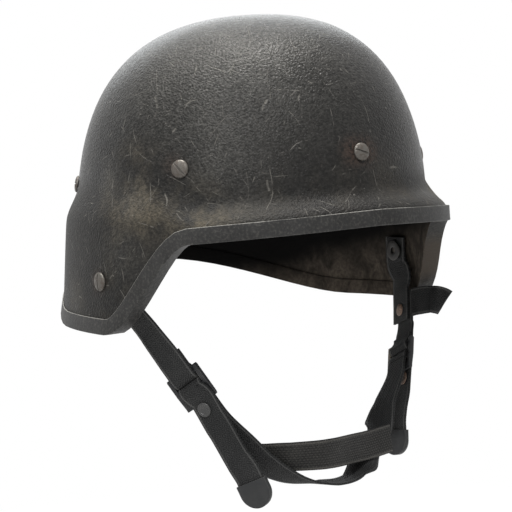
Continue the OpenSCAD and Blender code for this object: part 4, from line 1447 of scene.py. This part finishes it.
@dataclass
class Harness:
    """The chin strap: ear straps, buckled tails and the two chin bands, in millimetres.

    Attributes:
        tail_across: direction across the right tail.
        right_leg, left_leg: how far above the top bars the ear straps' sewn ends stop.
        shift: how far across from the snap the left ear strap runs.
        fold, lift: how far above the snap, and out from it, the pull's middle line starts.
        eyelet_r, snap_bore: radii of the holes for the posts' eyelets and for the snap.
        cap_half: half the length that lies flat under a snap cap.
        pocket: length of a tail inside its tip.
        skew: slant of the lower band at the join.
        band_step: how far out from the lower band the upper one is sewn on.
        sewn_station: station of the lower band whose side plane cuts the upper one off.
    """

    tail_across: Triple = (0.33, -0.83, 0.44)
    right_leg: float = 17.0
    left_leg: float = 9.0
    shift: float = 3.0
    fold: float = 2.8
    lift: float = WEB_STEP + 0.15
    eyelet_r: float = POST_R + 1.4
    snap_bore: float = 2.1
    cap_half: float = SNAP_R + 1
    pocket: float = 7.0
    skew: float = 1.15
    band_step: float = WEB_STEP + 1.2
    sewn_station: int = 22

    def __post_init__(self) -> None:
        """Places the buckles, snaps and tips."""
        self.right = Place(hang(-0.742, 30.4, 65.6), (0.386, -0.4, -0.83), (0.31, -0.8, 0.52))
        self.left = Place(hang(0.814, 26.6, 67.4), (-0.42, -0.4, -0.81), (-0.05, -0.95, 0.28), True)
        self.cap = Place(hang(-0.695, 41.9, 80.6), (0.33, -0.33, -0.89), self.tail_across)
        self.right_tip = Place(hang(-0.586, 71.3, 129.1), (0.26, -0.29, -0.92), (0.44, -0.83, 0.34))
        self.left_tip = Place(hang(0.665, 38, 121.1), (-0.1, -0.1, -0.99), (0.13, -0.99, 0.11), True)
        self.snap = Place(hang(0.945, 11, 40.5), (-0.25, -0.26, -0.93), (-0.12, -0.93, 0.33), True)
        self.left_cap = Place(hang(0.775, 33, 83.5), (-0.3, -0.2, -0.93), (-0.1, -0.95, 0.28), True)

    def ear_straps(self) -> dict[str, Piece]:
        """The strap on the right post, and the tab, snapped strap and its pull on the left.

        Returns:
            The pieces by CAD node, and the pull as left_pull.
        """
        right, left, snap = self.right, self.left, self.snap
        strap = routed([
            (hang(-1, -3.9, -8.1), (0, -0.9, 0.43)),
            (hang(-1, 3.9, 8.1), (0, -0.9, 0.43), (0, -0.43, -0.9)),
            (hang(-0.885, 13, 34), (0.16, -0.86, 0.48)),
            right.stop(TOP_BAR - 12, BAR_WRAP),
            right.stop(TOP_BAR, BAR_WRAP)])
        strap = strap[:-1] + right.wrap(TOP_BAR, 90, -90) + right.leg(self.right_leg)
        made = {"right_ear_strap": webbing_strip("right_ear_webbing", strap)}
        tab = routed([
            (hang(1, 0, -9), (0, -1, 0)),
            (hang(1, 0, 8), (0, -1, 0), (0, 0, -1)),
            (hang(0.992, 6.5, 17), (0, -0.97, 0.2)),
            snap.stop(-15),
            snap.stop(8.5)])
        made["left_ear_tab"] = webbing_strip("left_tab_webbing", tab)
        fold, lift, shift, half = self.fold, self.lift, self.shift, WEB_W / 2
        strap = routed([
            left.stop(TOP_BAR, BAR_WRAP, up=True),
            left.stop(TOP_BAR - 9, BAR_WRAP, up=True),
            snap.stop(10, WEB_STEP, shift, up=True),
            snap.stop(-fold - half + 0.3, WEB_STEP, shift, up=True)])
        loop = backwards(left.leg(self.left_leg)) + backwards(left.wrap(TOP_BAR, 90, -90))
        made["left_ear_strap"] = webbing_strip("left_ear_webbing", loop + strap[1:])
        pull = routed([
            (snap.spot(-fold, lift, shift - half + 0.4), -snap.down, snap.across),
            (snap.spot(-fold, lift, shift + half), -snap.down, snap.across),
            (hang(1.05, 28.5, 33), (0.35, 0.25, 0.9), (0.6, -0.7, 0)),
            (hang(1.11, 35.5, 35.5), (0.35, -0.5, 0.76), (0.75, -0.4, -0.55))])
        made["left_pull"] = webbing_strip("left_pull_webbing", pull)
        for side, key in ((-1, "right_ear_strap"), (1, "left_ear_tab")):
            bored(made[key], hang(side, 0, 0), Vector((1, 0, 0)), self.eyelet_r)
        for key in ("left_ear_tab", "left_ear_strap", "left_pull"):
            bored(made[key], snap.at, snap.out, self.snap_bore, 12.0)
        return made

    def tail(self, stops: list[tuple], place: Place) -> list[Frame]:
        """A free tail from its end up the front of a buckle and round the low bar."""
        last = Frame(place.spot(LEG_END, -BAR_WRAP), place.down, place.across)
        return backwards(routed(stops))[:-1] + place.wrap(LOW_BAR, 90, 270) + [last]

    def tails(self) -> dict[str, Piece]:
        """The two free tails.

        Returns:
            The pieces by CAD node.
        """
        right = self.tail([
            self.right.stop(LOW_BAR, BAR_WRAP),
            self.cap.stop(-self.cap_half),
            self.cap.stop(self.cap_half),
            (hang(-0.661, 50.5, 94.7), self.tail_across),
            (hang(-0.624, 60.1, 111), self.tail_across),
            self.right_tip.stop(-self.pocket),
            self.right_tip.stop(0)], self.right)
        left = self.tail([
            self.left.stop(LOW_BAR, BAR_WRAP),
            self.left_cap.stop(-self.cap_half),
            self.left_cap.stop(self.cap_half),
            (hang(0.7, 36, 104), (0, -0.99, 0.1)),
            self.left_tip.stop(-self.pocket),
            self.left_tip.stop(0)], self.left)
        return {"right_tail": webbing_strip("right_tail_webbing", right),
                "left_tail": webbing_strip("left_tail_webbing", left)}

    def chin_bands(self) -> dict[str, Piece]:
        """The lower band from buckle to buckle, and the woven band above it.

        Returns:
            The pieces by CAD node.
        """
        join = hang(0.415, 49.9, 118.9)
        out = Vector((0.2, -0.97, 0.08)).normalized()
        across = (Vector((0, 0, 1)).cross(out) + Vector((0, 0, 0.04))).normalized()
        up = out.cross(across)
        lean = (up + self.skew * across).normalized()
        wide = (across - self.skew * up).normalized()
        low = routed([
            self.right.stop(LEG_END + 0.3, -BAR_WRAP),
            (hang(-0.634, 44.8, 90.3), (0.33, -0.76, 0.56)),
            (hang(-0.56, 55.8, 103.3), (0.36, -0.76, 0.54)),
            (hang(-0.446, 62.9, 117.9), (0.4, -0.82, 0.4)),
            (hang(-0.265, 66.4, 129.9), (0.28, -0.94, 0.2)),
            (hang(-0.04, 66, 135.5), (0, -1, 0)),
            (hang(0.187, 60, 135.3), (0, -0.99, 0.1)),
            (join - 4 * lean, wide, lean),
            (join + 2 * lean, wide, lean),
            (hang(0.525, 41.5, 107.5), (0.5, -0.85, -0.12)),
            (hang(0.595, 37.3, 97), (0.15, -0.97, 0.18)),
            self.left.stop(LEG_END + 5, -BAR_WRAP - 0.5, up=True),
            self.left.stop(LEG_END + 0.3, -BAR_WRAP, up=True)])
        sewn = join + out * self.band_step
        high = routed([
            (hang(-0.494, 53.1, 113.9), (0.05, -0.2, 0.98)),
            (hang(-0.418, 59.2, 114.4), (0.05, -0.25, 0.97)),
            (hang(-0.324, 69, 113.9), (0.05, -0.25, 0.97)),
            (hang(-0.121, 75.2, 114.8), (0, -0.05, 1)),
            (hang(0.171, 62, 117.7), (0, 0.05, 1)),
            (sewn - 5 * across, up, across),
            (sewn + 14 * across, up, across)])
        made = {"chin_band_lower": webbing_strip("lower_chin_webbing", low),
                "chin_band_upper": webbing_strip("woven_chin_band", high)}
        end = low[self.sewn_station]
        face = end.along.cross(end.across).normalized()
        side = face.cross(end.along).normalized()
        edit(made["chin_band_upper"], lambda: bpy.ops.mesh.bisect(
            plane_co=end.at * MM, plane_no=side, use_fill=True, clear_inner=True,
            clear_outer=False, threshold=1e-7))
        return made

    def make(self, tape: Finish, woven: Finish) -> None:
        """Builds and dresses the webbing.

        Args:
            tape: finish of the plain webbing.
            woven: finish of the upper chin band.
        """
        for node, piece in self.ear_straps().items():
            node = "left_ear_strap" if node == "left_pull" else node
            dressed(piece, "chin_harness", tape, "strap_webbing", node)
        for node, piece in self.tails().items():
            dressed(piece, node.split("_")[0] + "_adjuster", tape, "strap_webbing", node)
        bands = self.chin_bands()
        dressed(bands["chin_band_lower"], "chin_harness", tape, "strap_webbing", "chin_band_lower")
        dressed(bands["chin_band_upper"], "chin_harness", woven, "woven_band", "chin_band_upper")


# The studio


@dataclass(frozen=True)
class Lamp:
    """A soft square lamp: its name, place, side in metres, power in watts and colour."""

    name: str
    at: Triple
    side: float
    power: float
    colour: Triple = (1.0, 1.0, 1.0)


@dataclass
class Studio:
    """Pale floor and sky, soft lamps, and the camera at the photograph's viewing angle.

    Attributes:
        floor_z, floor_side, floor_colour: the floor's height, side and colour.
        white: colour of the sky and of the floor's glow.
        fade: squares of the distances between which the floor turns white to the eye.
        near_white: share of white before that.
        sky_light: strength of the sky as light.
        aim: where the lamps look.
        eye, turn, lens, sensor: the camera's place, angles in radians, and millimetres.
        lamps: the lamps.
    """

    floor_z: float = -0.30
    floor_side: float = 30.0
    floor_colour: Triple = (0.86, 0.86, 0.86)
    white: Triple = (1.0, 1.0, 1.0)
    fade: tuple[float, float] = (0.08, 0.34)
    near_white: float = 0.62
    sky_light: float = 0.3
    aim: Triple = (0.0, 0.0, 0.0)
    eye: Triple = (-0.70990, -0.98240, 0.08040)
    turn: Triple = (1.485045, 0.042223, -0.625032)
    lens: float = 130.05
    sensor: float = 36.0
    lamps: tuple[Lamp, ...] = (
        Lamp("top_lamp", (0.15, 0.10, 1.5), 0.45, 28.0, (1.0, 0.98, 0.94)),
        Lamp("left_lamp", (-0.45, 0.30, 1.4), 0.45, 14.0, (1.0, 0.98, 0.94)),
        Lamp("front_lamp", (-0.85, -0.85, 1.15), 0.4, 17.0),
        Lamp("rear_lamp", (0.7, 1.2, 0.9), 1.2, 7.0, (0.92, 0.97, 1.0)),
    )

    def floor(self) -> None:
        """A plain pale floor that keeps the object's shadow, and is white to the eye further off."""
        bpy.ops.object.select_all(action="DESELECT")
        bpy.ops.mesh.primitive_plane_add(size=self.floor_side, location=(0.0, 0.0, self.floor_z))
        plane = bpy.context.active_object
        plane.name = "floor"
        g = Graph("pale_floor")
        seen = 0.0
        for ray in SEEN_RAYS:
            seen = g.node("ShaderNodeLightPath", {}, {}, ray) + seen
        x, y, _ = g.parts(g.point)
        share = seen * (x * x + y * y).step(*self.fade, self.near_white, 1.0)
        diffuse = g.node("ShaderNodeBsdfDiffuse", {}, {"Color": self.floor_colour})
        glow = g.node("ShaderNodeEmission", {}, {"Color": self.white, "Strength": 1.0})
        plane.data.materials.append(
            g.close(g.node("ShaderNodeMixShader", {}, {0: share, 1: diffuse, 2: glow})))

    def sky(self) -> None:
        """A plain pale sky, white to the eye and in gloss, and dimmer as light."""
        world = bpy.data.worlds.new("pale_sky")
        bpy.context.scene.world = world
        world.use_nodes = True
        nodes, links = world.node_tree.nodes, world.node_tree.links
        back = nodes["Background"]
        back.inputs["Color"].default_value = (*self.white, 1.0)
        path = nodes.new("ShaderNodeLightPath")
        first, *others = SEEN_RAYS
        seen = path.outputs[first]
        for ray in others:
            total = nodes.new("ShaderNodeMath")
            links.new(seen, total.inputs[0])
            links.new(path.outputs[ray], total.inputs[1])
            seen = total.outputs[0]
        level = nodes.new("ShaderNodeMapRange")
        level.inputs["To Min"].default_value = self.sky_light
        level.inputs["To Max"].default_value = 1.0
        links.new(seen, level.inputs["Value"])
        links.new(level.outputs["Result"], back.inputs["Strength"])

    def light(self) -> None:
        """The lamps, all turned to the object."""
        for lamp in self.lamps:
            data = bpy.data.lights.new(lamp.name, "AREA")
            data.size, data.energy, data.color = lamp.side, lamp.power, lamp.colour
            item = bpy.data.objects.new(lamp.name, data)
            item.location = lamp.at
            aim = Vector(self.aim) - item.location
            item.rotation_euler = aim.to_track_quat("-Z", "Y").to_euler()
            bpy.context.scene.collection.objects.link(item)

    def camera(self) -> None:
        """The camera that sees what the photograph shows."""
        data = bpy.data.cameras.new("photo_camera")
        data.lens, data.sensor_width = self.lens, self.sensor
        item = bpy.data.objects.new("photo_camera", data)
        item.location = self.eye
        item.rotation_euler = self.turn
        bpy.context.scene.collection.objects.link(item)
        bpy.context.scene.camera = item

    def make(self) -> None:
        """Sets the studio up."""
        bpy.context.scene.view_settings.view_transform = "Standard"
        self.camera()
        self.floor()
        self.sky()
        self.light()


def main() -> None:
    """Builds the studio and the helmet in order."""
    logging.basicConfig(level=logging.INFO, format="%(name)s %(message)s")
    Studio().make()
    Shell().make(PebbledPaint().material("pebbled_paint"), InnerFace().material("inner_face"),
                 EdgeRubber().material("edge_rubber"))
    Hardware().make({
        "steel": OldSteel((0.12, 0.113, 0.102), clean=0.56).material("old_steel"),
        "dark": OldSteel((0.045, 0.043, 0.041), (0.012, 0.011, 0.010), 0.65).material("dark_steel"),
        "black": OldSteel((0.05, 0.05, 0.05), (0.02, 0.02, 0.02), 0.7, metal=0.5).material("black_cap"),
        "brass": OldSteel((0.25, 0.20, 0.13), clean=0.6).material("old_brass"),
        "copper": OldSteel((0.42, 0.27, 0.19), (0.12, 0.08, 0.06), 0.45, metal=0.6).material("old_copper"),
        "plastic": Moulded().material("buckle_plastic"),
        "tip": Moulded((0.022, 0.023, 0.024), rough=0.5).material("tip_plastic"),
    })
    cotton = Webbing(colour=(0.035, 0.034, 0.027), pale=(0.075, 0.07, 0.055))
    Cradle().make(cotton.material("cotton_tape"), Leather().material("band_leather"),
                  Braid().material("lace_braid"))
    band = Webbing(Weave.BAND, (0.017, 0.017, 0.0165), (0.068, 0.065, 0.06))
    Harness().make(Webbing().material("strap_tape"), band.material("woven_band"))


if __name__ == "__main__":
    main()
